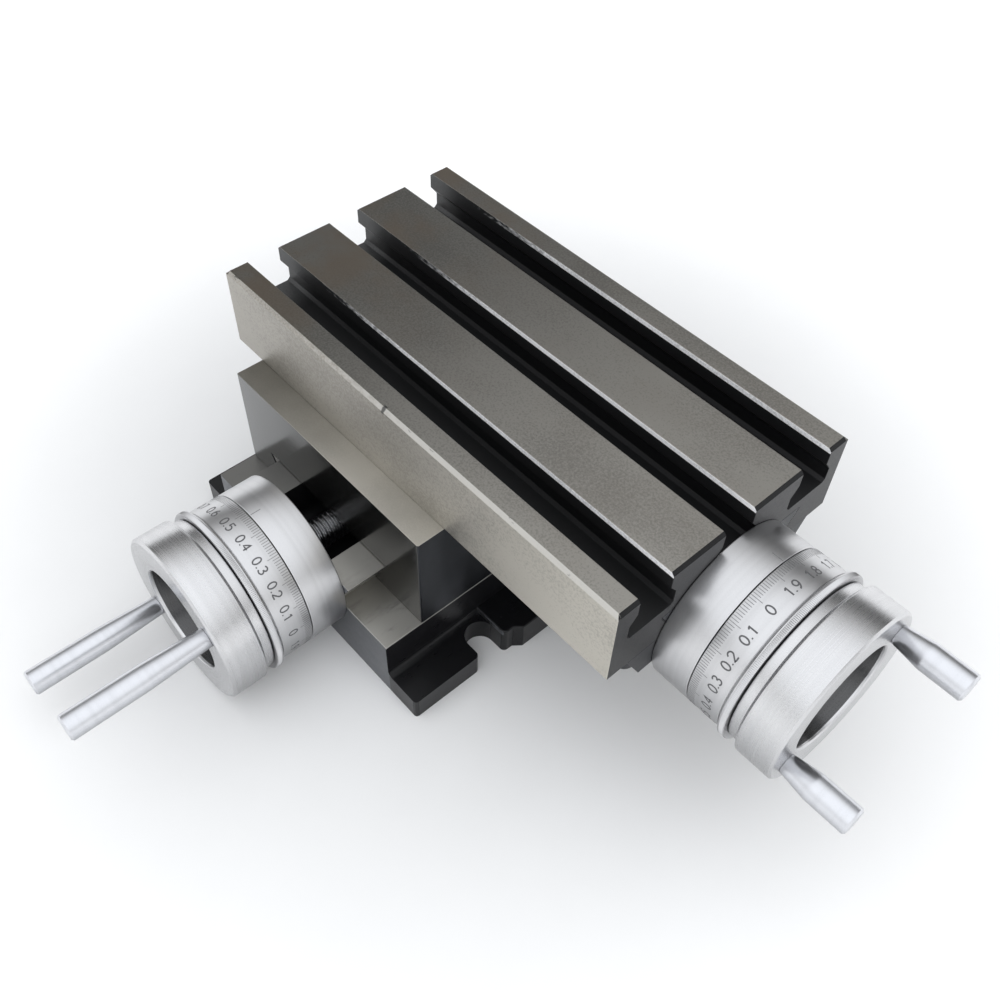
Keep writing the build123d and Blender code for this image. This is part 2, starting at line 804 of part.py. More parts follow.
def handwheel(spindle, handle_points):
    """Turned handwheel: hub, boss that carries the dial, neck, and a rim with a front recess."""
    groove = boss_radius - spring_groove_depth
    edge = rim_edge_chamfer
    bore = journal_radius + running_clearance
    with BuildPart() as wheel:
        with BuildSketch(spindle.section):
            Polygon(
                (bore, hub_back),
                (hub_radius, hub_back),
                (hub_radius, dial_start),
                (boss_radius, dial_start),
                (boss_radius, spring_groove_start),
                (groove, spring_groove_start),
                (groove, spring_groove_start + spring_groove_width),
                (boss_radius, spring_groove_start + spring_groove_width),
                (boss_radius, neck_start),
                (neck_radius, neck_start),
                (neck_radius, rim_start),
                (rim_radius - edge / 2, rim_start),
                (rim_radius, rim_start + edge / 2),
                (rim_radius, rim_front - edge),
                (rim_radius - edge, rim_front),
                (recess_radius + edge / 2, rim_front),
                (recess_radius, rim_front - edge / 2),
                (recess_floor_radius, recess_floor),
                (bore, recess_floor),
                align=None,
            )
        revolve(axis=spindle.axis)
        circles = wheel.edges().filter_by(GeomType.CIRCLE)
        floor_edge = circles.filter_by(lambda e: abs(e.radius - recess_floor_radius) < 0.01)
        fillet(floor_edge, recess_floor_fillet)
        with BuildSketch(spindle.face.offset(rim_front)):
            with Locations(*handle_points):
                Circle(handle_stud_radius + running_clearance)
        extrude(amount=-handle_stud_length - handle_hole_run_out, mode=Mode.SUBTRACT)
        with BuildSketch(spindle.face.offset(hub_back)):
            with Locations((journal_radius, 0)):
                Rectangle(key_size, key_size)
        extrude(amount=recess_floor - hub_back, mode=Mode.SUBTRACT)
    return wheel


def dial(spindle):
    """Graduated ring with an engraved line and a raised bead at its front edge."""
    edge = bead_edge_chamfer
    with BuildPart() as ring:
        with BuildSketch(spindle.section):
            Polygon(
                (dial_bore_radius, dial_start),
                (dial_radius - edge, dial_start),
                (dial_radius, dial_start + edge),
                (dial_radius, line_start),
                (dial_radius - line_depth, line_start),
                (dial_radius - line_depth, line_start + line_width),
                (dial_radius, line_start + line_width),
                (bead_radius, line_start + line_width + bead_rise),
                (bead_radius, dial_end - edge),
                (bead_radius - edge, dial_end),
                (dial_bore_radius, dial_end),
                align=None,
            )
        revolve(axis=spindle.axis)
    return ring


def dial_spring(spindle):
    """Split friction ring in the boss's groove, which holds the dial where it is set."""
    start = spring_groove_start + spring_side_gap
    outer = boss_radius
    inner = boss_radius - spring_thickness
    half_gap = spring_gap_angle / 2
    with BuildPart() as spring:
        with BuildSketch(spindle.face.offset(start)):
            with BuildLine():
                outside = CenterArc((0, 0), outer, half_gap, 360 - spring_gap_angle)
                inside = CenterArc((0, 0), inner, half_gap, 360 - spring_gap_angle)
                Line(outside @ 0, inside @ 0)
                Line(outside @ 1, inside @ 1)
            make_face()
        extrude(amount=spring_groove_width - 2 * spring_side_gap)
    return spring


def handle_points(angle):
    """Centres of the two handles on a wheel's face, opposite each other."""
    return [Vector(handle_circle, 0).rotate(Axis.Z, angle + turn) for turn in (0, 180)]


def wheel_handle(spindle, point, shape):
    """Turned handle with a stud below, at a point of the wheel's face."""
    foot = spindle.face.offset(rim_front).from_local_coords(point)
    section = Plane(origin=foot, x_dir=spindle.face.x_dir, z_dir=-spindle.face.y_dir)
    seat = handle_seat_gap
    end = seat + shape.length
    with BuildPart() as handle:
        with BuildSketch(section):
            Polygon(
                (0, -handle_stud_length),
                (handle_stud_radius - handle_end_chamfer, -handle_stud_length),
                (handle_stud_radius, handle_end_chamfer - handle_stud_length),
                (handle_stud_radius, seat),
                (shape.root_radius, seat),
                (shape.knee_radius, seat + shape.knee),
                (shape.end_radius, end - handle_end_chamfer),
                (shape.end_radius - handle_end_chamfer, end),
                (0, end),
                align=None,
            )
        revolve(axis=Axis(foot, spindle.face.z_dir))
    return handle


def wheel_washer(spindle):
    """Washer on the floor of the handwheel's recess."""
    with BuildPart() as washer:
        with BuildSketch(spindle.face.offset(recess_floor)):
            Circle(wheel_washer_radius)
            Circle(stud_radius + 2 * running_clearance, mode=Mode.SUBTRACT)
        extrude(amount=wheel_washer_thickness)
    return washer


def wheel_nut(spindle):
    """Hexagon nut that holds the handwheel on its screw."""
    with BuildPart() as nut:
        with BuildSketch(spindle.face.offset(recess_floor + wheel_washer_thickness)):
            RegularPolygon(wheel_nut_across_flats / 2, 6, major_radius=False)
            Circle(stud_radius + running_clearance, mode=Mode.SUBTRACT)
        extrude(amount=wheel_nut_height)
    return nut


def save_spindle(spindle, shape):
    """Build and write the pieces of one spindle, whose handles have the given shape."""
    prefix = spindle.prefix
    points = handle_points(shape.angle)
    screw_seat = spindle.face.offset(flange_thickness - cap_pocket_depth)
    screw_length = flange_thickness - cap_pocket_depth + flange_screw_grip
    save(f"{prefix}_bearing_flange", bearing_flange(spindle))
    save(f"{prefix}_flange_screws", cap_screws(screw_seat, spindle.flange_screw_points(), screw_length))
    save(f"{prefix}_thrust_washers", thrust_washers(spindle))
    save(f"{prefix}_leadscrew", leadscrew(spindle))
    save(f"{prefix}_wheel_key", wheel_key(spindle))
    save(f"{prefix}_handwheel", handwheel(spindle, points))
    save(f"{prefix}_dial", dial(spindle))
    save(f"{prefix}_dial_spring", dial_spring(spindle))
    save(f"{prefix}_wheel_washer", wheel_washer(spindle))
    save(f"{prefix}_wheel_nut", wheel_nut(spindle))
    for letter, point in zip("ab", points):
        save(f"{prefix}_handle_{letter}", wheel_handle(spindle, point, shape))


# Planes on the outside of the walls that carry the gib screws, facing out
saddle_wall_centre = (saddle_left, saddle_rest_y, lower_gib_screw_height)
table_wall_centre = (upper_gib_middle, table_back, upper_gib_screw_height)
saddle_wall = Plane(origin=saddle_wall_centre, x_dir=(0, 1, 0), z_dir=(-1, 0, 0))
table_wall = Plane(origin=table_wall_centre, x_dir=(1, 0, 0), z_dir=(0, 1, 0))
saddle_gib_flank = lower_flank(lower_gib_screw_height)
table_gib_flank = upper_flank(upper_gib_screw_height)


def seat_facing_down(height):
    """Plane under the heads of screws that are put in from below."""
    return Plane(origin=(0, 0, height), x_dir=(1, 0, 0), z_dir=(0, 0, -1))


def seen_from_below(points):
    """Points given from above, in the coordinates of a plane that faces down."""
    return [(x, -y) for x, y in points]


x_nut_seat = seat_facing_down(lower_ceiling + cap_pocket_depth)
y_nut_seat = seat_facing_down(y_nut_bottom + cap_pocket_depth)
bracket_seat = seat_facing_down(table_bottom - bracket_screw_seat)
x_nut_screw_length = trough_floor - lower_ceiling - cap_pocket_depth + x_nut_screw_grip
y_nut_screw_length = lower_ceiling - y_nut_bottom - cap_pocket_depth + y_nut_screw_grip
bracket_screw_length = bracket_screw_seat + bracket_screw_grip

save("base_casting", base_casting())
save("saddle_casting", saddle_casting())
save("table_casting", table_casting())
save("y_gib", lower_gib())
save("y_gib_screws", gib_screws(saddle_wall, lower_gib_screw_pitch, saddle_width / 2, saddle_gib_flank))
save("y_gib_locknuts", gib_locknuts(saddle_wall, lower_gib_screw_pitch))
save("x_gib", upper_gib())
save("x_gib_screws", gib_screws(table_wall, upper_gib_screw_pitch, table_width / 2, table_gib_flank))
save("x_gib_locknuts", gib_locknuts(table_wall, upper_gib_screw_pitch))
save("x_nut", x_nut())
save("x_nut_screws", cap_screws(x_nut_seat, seen_from_below(x_nut_screw_points()), x_nut_screw_length))
save("y_nut", y_nut())
save("y_nut_screws", cap_screws(y_nut_seat, seen_from_below(y_nut_screw_points()), y_nut_screw_length))
save("x_end_bracket", x_end_bracket())
bracket_points = seen_from_below(bracket_screw_points())
save("x_bracket_screws", cap_screws(bracket_seat, bracket_points, bracket_screw_length))
save_spindle(x_spindle, x_handle_shape)
save_spindle(y_spindle, y_handle_shape)
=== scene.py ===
"""Looks, light and camera of the cross slide table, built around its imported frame.

Lengths are metres in the part's own frame: X runs along the table towards its handwheel, Y runs
back, Z runs up, and the origin is the centre of the base's bottom face.
"""

import logging
from dataclasses import dataclass
from enum import Enum
from math import cos, pi, radians, sin

import bmesh
import bpy
import numpy as np
from mathutils import Matrix, Vector


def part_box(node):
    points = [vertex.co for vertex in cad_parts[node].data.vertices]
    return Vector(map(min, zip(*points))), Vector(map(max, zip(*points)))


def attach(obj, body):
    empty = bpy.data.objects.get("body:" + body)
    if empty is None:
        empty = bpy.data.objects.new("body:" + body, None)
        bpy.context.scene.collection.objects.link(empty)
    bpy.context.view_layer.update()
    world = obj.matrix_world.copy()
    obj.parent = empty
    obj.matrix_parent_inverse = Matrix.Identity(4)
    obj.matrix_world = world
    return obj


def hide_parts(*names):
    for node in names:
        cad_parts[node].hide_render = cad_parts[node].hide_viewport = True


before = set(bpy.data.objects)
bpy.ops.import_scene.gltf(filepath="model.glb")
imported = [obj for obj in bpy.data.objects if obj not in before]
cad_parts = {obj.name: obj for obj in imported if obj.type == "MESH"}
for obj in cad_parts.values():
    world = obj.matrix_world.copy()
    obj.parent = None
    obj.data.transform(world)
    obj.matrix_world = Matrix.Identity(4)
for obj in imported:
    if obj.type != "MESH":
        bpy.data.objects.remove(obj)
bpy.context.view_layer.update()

log = logging.getLogger("cross_slide_table")
MM = 0.001
Colour = tuple[float, float, float]
Point = tuple[float, float, float]
BLACK: Colour = (0.0, 0.0, 0.0)
SIDE_ON = 0.6  # a face looks along an axis where its direction's part along it is above this
SHARP = 32.0  # degrees: a mesh is shaded smooth across edges that turn by less


class Wire:
    """A node's output that adds Math nodes when it is used in an expression."""

    def __init__(self, nodes: "Nodes", socket: bpy.types.NodeSocket) -> None:
        """Keep the output and the tree that its node belongs to."""
        self.nodes = nodes
        self.socket = socket

    def _math(self, operation: str, first: "Number", second: "Number") -> "Wire":
        """Add one Math node on two values."""
        return self.nodes.node("ShaderNodeMath", {"operation": operation}, {0: first, 1: second})

    def __add__(self, other: "Number") -> "Wire":
        """This plus other."""
        return self._math("ADD", self, other)

    def __radd__(self, other: "Number") -> "Wire":
        """Other plus this."""
        return self._math("ADD", other, self)

    def __sub__(self, other: "Number") -> "Wire":
        """This less other."""
        return self._math("SUBTRACT", self, other)

    def __rsub__(self, other: "Number") -> "Wire":
        """Other less this."""
        return self._math("SUBTRACT", other, self)

    def __mul__(self, other: "Number") -> "Wire":
        """This times other."""
        return self._math("MULTIPLY", self, other)

    def __rmul__(self, other: "Number") -> "Wire":
        """Other times this."""
        return self._math("MULTIPLY", other, self)

    def __gt__(self, other: "Number") -> "Wire":
        """1 where this is above other, 0 elsewhere."""
        return self._math("GREATER_THAN", self, other)

    def __lt__(self, other: "Number") -> "Wire":
        """1 where this is below other, 0 elsewhere."""
        return self._math("LESS_THAN", self, other)

    def __pow__(self, other: "Number") -> "Wire":
        """This to the power of other."""
        return self._math("POWER", self, other)

    def __abs__(self) -> "Wire":
        """This without its sign."""
        return self._math("ABSOLUTE", self, 0.0)

    def top(self, other: "Number") -> "Wire":
        """The larger of this and other."""
        return self._math("MAXIMUM", self, other)


Number = Wire | float


class Nodes:
    """A shader tree, and the short ways to add nodes to it."""

    def __init__(self, tree: bpy.types.NodeTree) -> None:
        """Take a tree and empty it.

        Args:
            tree: The tree of a material or of the sky.
        """
        self.tree = tree
        self.tree.nodes.clear()

    def node(self, kind: str, settings: dict | None = None, inputs: dict | None = None,
             output: int | str = 0) -> Wire:
        """Add a node, set it up and feed it.

        Args:
            kind: The node's type.
            settings: Properties of the node, set before its inputs.
            inputs: Values or wires by the input's name or number.
            output: Which output the returned wire leaves from.

        Returns:
            The node's output.
        """
        made = self.tree.nodes.new(kind)
        for key, value in (settings or {}).items():
            setattr(made, key, value)
        for key, value in (inputs or {}).items():
            if isinstance(value, Wire):
                self.tree.links.new(value.socket, made.inputs[key])
            else:
                made.inputs[key].default_value = value
        return Wire(self, made.outputs[output])

    def split(self, vector: Wire) -> tuple[Wire, Wire, Wire]:
        """The three parts of a vector."""
        first = self.node("ShaderNodeSeparateXYZ", inputs={0: vector})
        outputs = first.socket.node.outputs
        return first, Wire(self, outputs[1]), Wire(self, outputs[2])

    def join(self, x: Number, y: Number, z: Number) -> Wire:
        """A vector of three parts."""
        return self.node("ShaderNodeCombineXYZ", inputs={0: x, 1: y, 2: z})

    def stretch(self, vector: Wire, by: Point) -> Wire:
        """A vector with each part multiplied by its own factor."""
        return self.node("ShaderNodeVectorMath", {"operation": "MULTIPLY"}, {0: vector, 1: by})

    def noise(self, vector: Wire, scale: float = 1.0, detail: float = 3.0, rough: float = 0.5) -> Wire:
        """Soft noise from about 0 to 1.

        Args:
            vector: Where to read the noise.
            scale: Cells per unit.
            detail: Octaves.
            rough: Strength of the finer octaves.

        Returns:
            The noise.
        """
        return self.node("ShaderNodeTexNoise", None, {"Vector": vector, "Scale": scale, "Detail": detail,
                                                      "Roughness": rough})

    def ramp(self, value: Number, low: float, high: float, start: float = 0.0, end: float = 1.0) -> Wire:
        """A value that runs from start to end while the input runs from low to high, and stays there."""
        return self.node("ShaderNodeMapRange", {"interpolation_type": "SMOOTHSTEP"},
                         {0: value, 1: low, 2: high, 3: start, 4: end})

    def mix(self, share: Number, first: "Wire | Colour", second: "Wire | Colour") -> Wire:
        """Two colours mixed: share 0 is the first and 1 the second."""
        pair = {key: value if isinstance(value, Wire) else (*value, 1.0)
                for key, value in ((6, first), (7, second))}
        return self.node("ShaderNodeMix", {"data_type": "RGBA"}, {0: share, **pair}, output=2)

    def bump(self, height: Wire, depth: float, strength: float = 1.0) -> Wire:
        """A surface direction pushed about by a height.

        Args:
            height: The height, from 0 to 1.
            depth: How high 1 stands, in metres.
            strength: How much of it shows.

        Returns:
            The direction.
        """
        return self.node("ShaderNodeBump", None, {"Strength": strength, "Distance": depth, "Height": height})


class Paint(Nodes):
    """One procedural material: a Principled shader and the nodes that feed it."""

    def __init__(self, name: str) -> None:
        """Start an empty material.

        Args:
            name: The material's name.
        """
        self.material = bpy.data.materials.new(name)
        self.material.use_nodes = True
        super().__init__(self.material.node_tree)
        self.output = self.tree.nodes.new("ShaderNodeOutputMaterial")

    def place(self) -> Wire:
        """The point on the piece, in the part's frame."""
        return self.node("ShaderNodeTexCoord", output="Object")

    def facing(self) -> tuple[Wire, Wire, Wire]:
        """The three parts of the surface's direction, in the part's frame."""
        return self.split(self.node("ShaderNodeTexCoord", output="Normal"))

    def finish(self, colour: "Wire | Colour", roughness: Number, metallic: Number,
               normal: Wire | None = None, reflection: float = 0.5,
               glow: Wire | None = None) -> bpy.types.Material:
        """Close the material with its shader.

        Args:
            colour: Base colour.
            roughness: Roughness.
            metallic: Metallic.
            normal: Surface direction, if it has a bump.
            reflection: How much the part that is not metal reflects, 0.5 for plain paint.
            glow: Colour of a glow, if it has one.

        Returns:
            The material.
        """
        base = colour if isinstance(colour, Wire) else (*colour, 1.0)
        inputs = {"Base Color": base, "Roughness": roughness, "Metallic": metallic,
                  "Specular IOR Level": reflection}
        if normal is not None:
            inputs["Normal"] = normal
        if glow is not None:
            inputs |= {"Emission Color": glow, "Emission Strength": 1.0}
        shader = self.node("ShaderNodeBsdfPrincipled", None, inputs)
        self.tree.links.new(shader.socket, self.output.inputs[0])
        return self.material


@dataclass(frozen=True)
class Zone:
    """One finish on part of a casting."""

    colour: Colour
    roughness: float
    metallic: float = 0.9


class Layers:
    """Zones laid one over another on a casting."""

    def __init__(self, paint: Paint, ground: Zone) -> None:
        """Start with the zone that lies under all the others."""
        self.paint = paint
        self.colour: Wire | Colour = ground.colour
        self.roughness: Number = ground.roughness
        self.metallic: Number = ground.metallic

    def lay(self, mask: Wire, zone: Zone) -> None:
        """Lay a zone where its mask is 1.

        Args:
            mask: 1 where the zone shows.
            zone: The zone.
        """
        self.colour = self.paint.mix(mask, self.colour, zone.colour)
        self.roughness = self.roughness * (1.0 - mask) + mask * zone.roughness
        self.metallic = self.metallic * (1.0 - mask) + mask * zone.metallic


@dataclass(frozen=True)
class TableFinish:
    """Ground grey iron of the table: a light front, dull ends, and painted light and shade."""

    low: Point
    high: Point
    middle: float = -9 * MM
    ground: Zone = Zone((0.345, 0.332, 0.305), 0.37)
    # painted shade: the top is painted darker towards the left end
    ground_left_shade: Zone = Zone((0.160, 0.156, 0.143), 0.37)
    apron: Zone = Zone((0.390, 0.370, 0.335), 0.44)
    # painted light: the front face is painted lighter towards the right end
    apron_right_light: Zone = Zone((0.530, 0.505, 0.450), 0.44)
    # painted highlight: a bright band along the top of the slots' far walls
    lip_highlight: Zone = Zone((0.93, 0.93, 0.94), 0.55, 0.1)
    # painted shade: the slots' insides are painted near black
    slot: Zone = Zone((0.010, 0.010, 0.011), 0.5, 0.3)
    # painted light: the slots are painted less dark near the left end, where light gets in
    slot_end_light: Zone = Zone((0.12, 0.12, 0.12), 0.5, 0.3)
    end: Zone = Zone((0.052, 0.052, 0.053), 0.45, 0.8)
    end_edge: Zone = Zone((0.022, 0.022, 0.023), 0.5, 0.8)
    lip_depth: float = 2.0 * MM
    slot_depth: float = 19.0 * MM
    slots_half_width: float = 48.0 * MM
    stain: Colour = (0.155, 0.125, 0.095)
    nick: Colour = (0.05, 0.05, 0.05)
    knocks: tuple[float, ...] = (23.6 * MM,)
    knock_core: float = 0.4 * MM
    knock_reach: float = 1.1 * MM
    knock_rag: float = 1.5 * MM
    front_band: float = 2.0 * MM
    # painted highlight on the front top chamfer
    front_edge_highlight: Colour = (0.50, 0.49, 0.465)

    def make(self) -> bpy.types.Material:
        """Build the material.

        Returns:
            The material.
        """
        paint = Paint("table_iron")
        place = paint.place()
        along, across, height = paint.split(place)
        nx, ny, nz = paint.facing()
        left, right, top = self.low[0], self.high[0], self.high[2]
        lines = paint.noise(paint.stretch(place, (18.0, 2600.0, 2600.0)), detail=4.0, rough=0.6)
        speckle = paint.noise(place, 1300.0, 2.0, 0.7)
        cloud = paint.noise(paint.stretch(place, (16.0, 26.0, 26.0)), detail=2.0)
        ragged = paint.noise(paint.stretch(place, (420.0, 60.0, 900.0)), detail=2.0)
        slot = (abs(across - self.middle) < self.slots_half_width) * (height > top - self.slot_depth)
        slot = slot * (height < top - 0.1 * MM)
        solid = 1.0 - slot
        layers = Layers(paint, self.ground)
        # painted shade towards the table's left end
        layers.lay(1.0 - paint.ramp(along, left + 20 * MM, right - 10 * MM), self.ground_left_shade)
        layers.lay((abs(ny) > SIDE_ON) * solid, self.apron)
        # painted light on the front towards the right end
        layers.lay((ny < -SIDE_ON) * solid * paint.ramp(along, self.middle, right), self.apron_right_light)
        # painted shade inside the slots, eased near the left end
        layers.lay(slot, self.slot)
        layers.lay(slot * paint.ramp(along, left + 18 * MM, left + 6 * MM, 0.0, 0.5), self.slot_end_light)
        # painted highlight on the slots' far lips, from part way along the table to its right end
        bright = paint.ramp(along + ragged * 60 * MM, left + 62 * MM, left + 110 * MM)
        layers.lay(slot * (height > top - self.lip_depth) * bright * (ny < -0.3), self.lip_highlight)
        layers.lay(abs(nx) > 0.5, self.end_edge)
        layers.lay(abs(nx) > 0.85, self.end)
        shade = paint.ramp(cloud * 0.45 + speckle * 0.55, 0.32, 0.68, 0.70, 1.20)
        colour = paint.mix(1.0 - shade, layers.colour, BLACK)
        patches = paint.ramp(paint.noise(place, 34.0, 4.0, 0.6), 0.40, 0.68)
        stained = patches * paint.ramp(along, left + 4 * MM, left + 90 * MM, 0.75, 0.10)
        colour = paint.mix(stained * (nz > 0.9) * solid, colour, self.stain)
        # painted highlight: the front top chamfer is painted bright, raggedly, towards the right
        front = (ny < -0.3) * (ny > -0.9) * (across < self.low[1] + self.front_band)
        worn = paint.ramp(along + ragged * 90 * MM, left + 90 * MM, left + 150 * MM, 0.0, 0.8)
        colour = paint.mix(front * worn, colour, self.front_edge_highlight)
        colour = paint.mix(self.nicks(paint, place, across, height), colour, self.nick)
        roughness = layers.roughness + (lines - 0.5) * 0.14 + (speckle - 0.5) * 0.20
        relief = lines * 0.35 + speckle * 0.65
        return paint.finish(colour, roughness, layers.metallic, paint.bump(relief, 0.02 * MM, 0.6))

    def nicks(self, paint: Paint, place: Wire, across: Wire, height: Wire) -> Wire:
        """Marks on the front top edge: rare peaks of a noise that runs along it, and the named knocks."""
        edge = (across < self.low[1] + self.front_band) * (height > self.high[2] - self.front_band)
        peaks = paint.noise(paint.stretch(place, (130.0, 420.0, 420.0)), detail=3.0, rough=0.6)
        mask = paint.ramp(peaks, 0.66, 0.74)
        along = paint.split(place)[0]
        for knock in self.knocks:
            distance = abs(along - knock) + (peaks - 0.5) * self.knock_rag
            mask = mask.top(paint.ramp(distance, self.knock_core, self.knock_reach, 1.0, 0.0))
        return mask * edge * 0.85


@dataclass(frozen=True)
class SaddleFinish:
    """Saddle: mirror-ground front and light ledges, with painted shade, reflection and sheen."""

    half_width: float = 54.25 * MM
    front: Zone = Zone((0.20, 0.20, 0.198), 0.17)
    # painted reflection: the front is painted darker towards the right, where it mirrors the dark trough
    front_right_reflection: Zone = Zone((0.070, 0.070, 0.068), 0.16)
    ledge: Zone = Zone((0.52, 0.50, 0.455), 0.40)
    # painted shade: the ledges are painted darker towards the left
    ledge_left_shade: Zone = Zone((0.235, 0.225, 0.20), 0.40)
    # painted shade: faces that look along X are painted near black
    side: Zone = Zone((0.026, 0.028, 0.033), 0.34)
    # painted sheen: bluish clouds over the dark sides
    side_sheen: Zone = Zone((0.060, 0.063, 0.070), 0.42)

    def make(self) -> bpy.types.Material:
        """Build the material.

        Returns:
            The material.
        """
        paint = Paint("saddle_iron")
        place = paint.place()
        along, _, _ = paint.split(place)
        nx, _, nz = paint.facing()
        cloud = paint.noise(paint.stretch(place, (40.0, 40.0, 14.0)), detail=3.0)
        rightward = paint.ramp(along + (cloud - 0.5) * 20 * MM, -self.half_width, 0.2 * self.half_width)
        layers = Layers(paint, self.front)
        # painted reflection of the dark trough, towards the right
        layers.lay(rightward, self.front_right_reflection)
        layers.lay(nz > SIDE_ON, self.ledge)
        # painted shade on the ledges towards the left
        leftward_shade = 1.0 - paint.ramp(along, -self.half_width, 0.5 * self.half_width)
        layers.lay((nz > SIDE_ON) * leftward_shade, self.ledge_left_shade)
        # painted shade and painted sheen on the sides
        layers.lay(abs(nx) > SIDE_ON, self.side)
        layers.lay((abs(nx) > SIDE_ON) * paint.ramp(cloud, 0.45, 0.75), self.side_sheen)
        lines = paint.noise(paint.stretch(place, (60.0, 300.0, 2400.0)), detail=4.0, rough=0.6)
        speckle = paint.noise(place, 2000.0, 2.0, 0.6)
        shade = paint.ramp(cloud * 0.7 + speckle * 0.3, 0.3, 0.75, 0.82, 1.08)
        colour = paint.mix(1.0 - shade, layers.colour, BLACK)
        roughness = layers.roughness + (lines - 0.5) * 0.14 + (speckle - 0.5) * 0.06
        return paint.finish(colour, roughness, layers.metallic, paint.bump(lines, 0.008 * MM, 0.4))


@dataclass(frozen=True)
class BaseFinish:
    """Base: machined ways and front over glossy charcoal feet and flanks."""

    way_height: float
    way_half_width: float
    machined: Zone = Zone((0.38, 0.37, 0.345), 0.33)
    # painted shade: the machined faces are painted darker towards the left
    machined_left_shade: Zone = Zone((0.19, 0.188, 0.18), 0.33)
    worn: Zone = Zone((0.15, 0.148, 0.142), 0.38)
    front: Zone = Zone((0.135, 0.14, 0.152), 0.34)
    coated: Zone = Zone((0.007, 0.007, 0.008), 0.30, 0.0)
    # painted shade: the trough between the ways is painted near black
    trough_shade: Zone = Zone((0.012, 0.012, 0.013), 0.45, 0.2)
    trough_half_width: float = 19 * MM
    trough_rise: float = 13.4 * MM
    coat_height: float = 10.6 * MM
    end_on: float = 0.8

    def make(self) -> bpy.types.Material:
        """Build the material.

        Returns:
            The material.
        """
        paint = Paint("base_iron")
        place = paint.place()
        across, _, height = paint.split(place)
        _, ny, _ = paint.facing()
        lengthwise = abs(ny) < self.end_on
        layers = Layers(paint, self.machined)
        # painted shade towards the left
        layers.lay(1.0 - paint.ramp(across, -0.6 * self.way_half_width, 0.35 * self.way_half_width),
                   self.machined_left_shade)
        patches = paint.noise(paint.stretch(place, (90.0, 26.0, 60.0)), detail=5.0, rough=0.65)
        rightward = paint.ramp(across, 0.4 * self.way_half_width, self.way_half_width, 0.2, 0.85)
        layers.lay(paint.ramp(patches, 0.50, 0.66) * rightward, self.worn)
        layers.lay(abs(ny) > self.end_on, self.front)
        # painted shade in the trough
        in_trough = (abs(across) < self.trough_half_width) * (height < self.way_height + self.trough_rise)
        layers.lay(in_trough * lengthwise, self.trough_shade)
        flank = (abs(across) > self.way_half_width - 0.6 * MM) * (height < self.way_height - 0.6 * MM)
        layers.lay(flank * lengthwise, self.coated)
        foot = height < self.coat_height
        layers.lay(foot * (abs(across) > self.way_half_width + 0.5 * MM), self.coated)
        lines = paint.noise(paint.stretch(place, (2200.0, 40.0, 900.0)), detail=4.0, rough=0.6)
        orange = paint.noise(place, 260.0, 3.0, 0.5)
        roughness = layers.roughness + (lines - 0.5) * 0.12 + (orange - 0.5) * 0.10
        normal = paint.bump(lines * 0.3 + orange * 0.7, 0.012 * MM, 0.3)
        return paint.finish(layers.colour, roughness, layers.metallic, normal, reflection=0.28)


@dataclass(frozen=True)
class TurnedFinish:
    """Turned metal: fine rings round the piece's axis, with painted shade underneath and in a recess."""

    name: str
    centre: Point
    along: int
    colour: Colour
    roughness: float
    ring_depth: float = 0.006 * MM
    # painted shade: faces that look down are painted darker by this factor
    underside_shade: float = 0.62
    recess_radius: float = 0.0
    recess_front: float = 0.0
    # painted shade inside the wheel's front recess
    recess_shade: float = 0.15

    def make(self) -> bpy.types.Material:
        """Build the material. Rings depend on the distance along the axis and from it, so they run round it.

        Returns:
            The material.
        """
        paint = Paint(self.name)
        shifted = paint.node("ShaderNodeVectorMath", {"operation": "SUBTRACT"},
                             {0: paint.place(), 1: self.centre})
        parts = paint.split(shifted)
        along = parts[self.along]
        side, up = [part for place, part in enumerate(parts) if place != self.along]
        distance = (side * side + up * up) ** 0.5
        rings = paint.noise(paint.join(along * 4200.0, distance * 4200.0, 0.0), detail=3.0, rough=0.65)
        broad = paint.noise(paint.join(along * 500.0, distance * 500.0, 3.0), detail=2.0)
        speckle = paint.noise(paint.place(), 2600.0, 2.0)
        shade = paint.ramp(speckle * 0.4 + broad * 0.6, 0.25, 0.75, 0.92, 1.04)
        # painted shade on faces that look down
        shade = shade * paint.ramp(paint.facing()[2], -0.45, 0.30, self.underside_shade, 1.0)
        # painted shade in the recess
        if self.recess_radius:
            inside = (distance < self.recess_radius) * (abs(along) < self.recess_front)
            shade = shade * (1.0 - inside * (1.0 - self.recess_shade))
        colour = paint.mix(1.0 - shade, self.colour, BLACK)
        roughness = self.roughness + (rings - 0.5) * 0.12 + (speckle - 0.5) * 0.04
        return paint.finish(colour, roughness, 1.0, paint.bump(rings, self.ring_depth, 0.4))


@dataclass(frozen=True)
class PlainFinish:
    """Small steel, bronze and inked pieces: one colour, with fine wear in its gloss."""

    name: str
    colour: Colour
    roughness: float
    metallic: float = 1.0
    grain: float = 1600.0

    def make(self) -> bpy.types.Material:
        """Build the material.

        Returns:
            The material.
        """
        paint = Paint(self.name)
        wear = paint.noise(paint.place(), self.grain, 3.0, 0.55)
        shade = paint.ramp(wear, 0.3, 0.7, 0.86, 1.06)
        colour = paint.mix(1.0 - shade, self.colour, BLACK)
        roughness = self.roughness + (wear - 0.5) * 0.16
        return paint.finish(colour, roughness, self.metallic, paint.bump(wear, 0.01 * MM, 0.3))


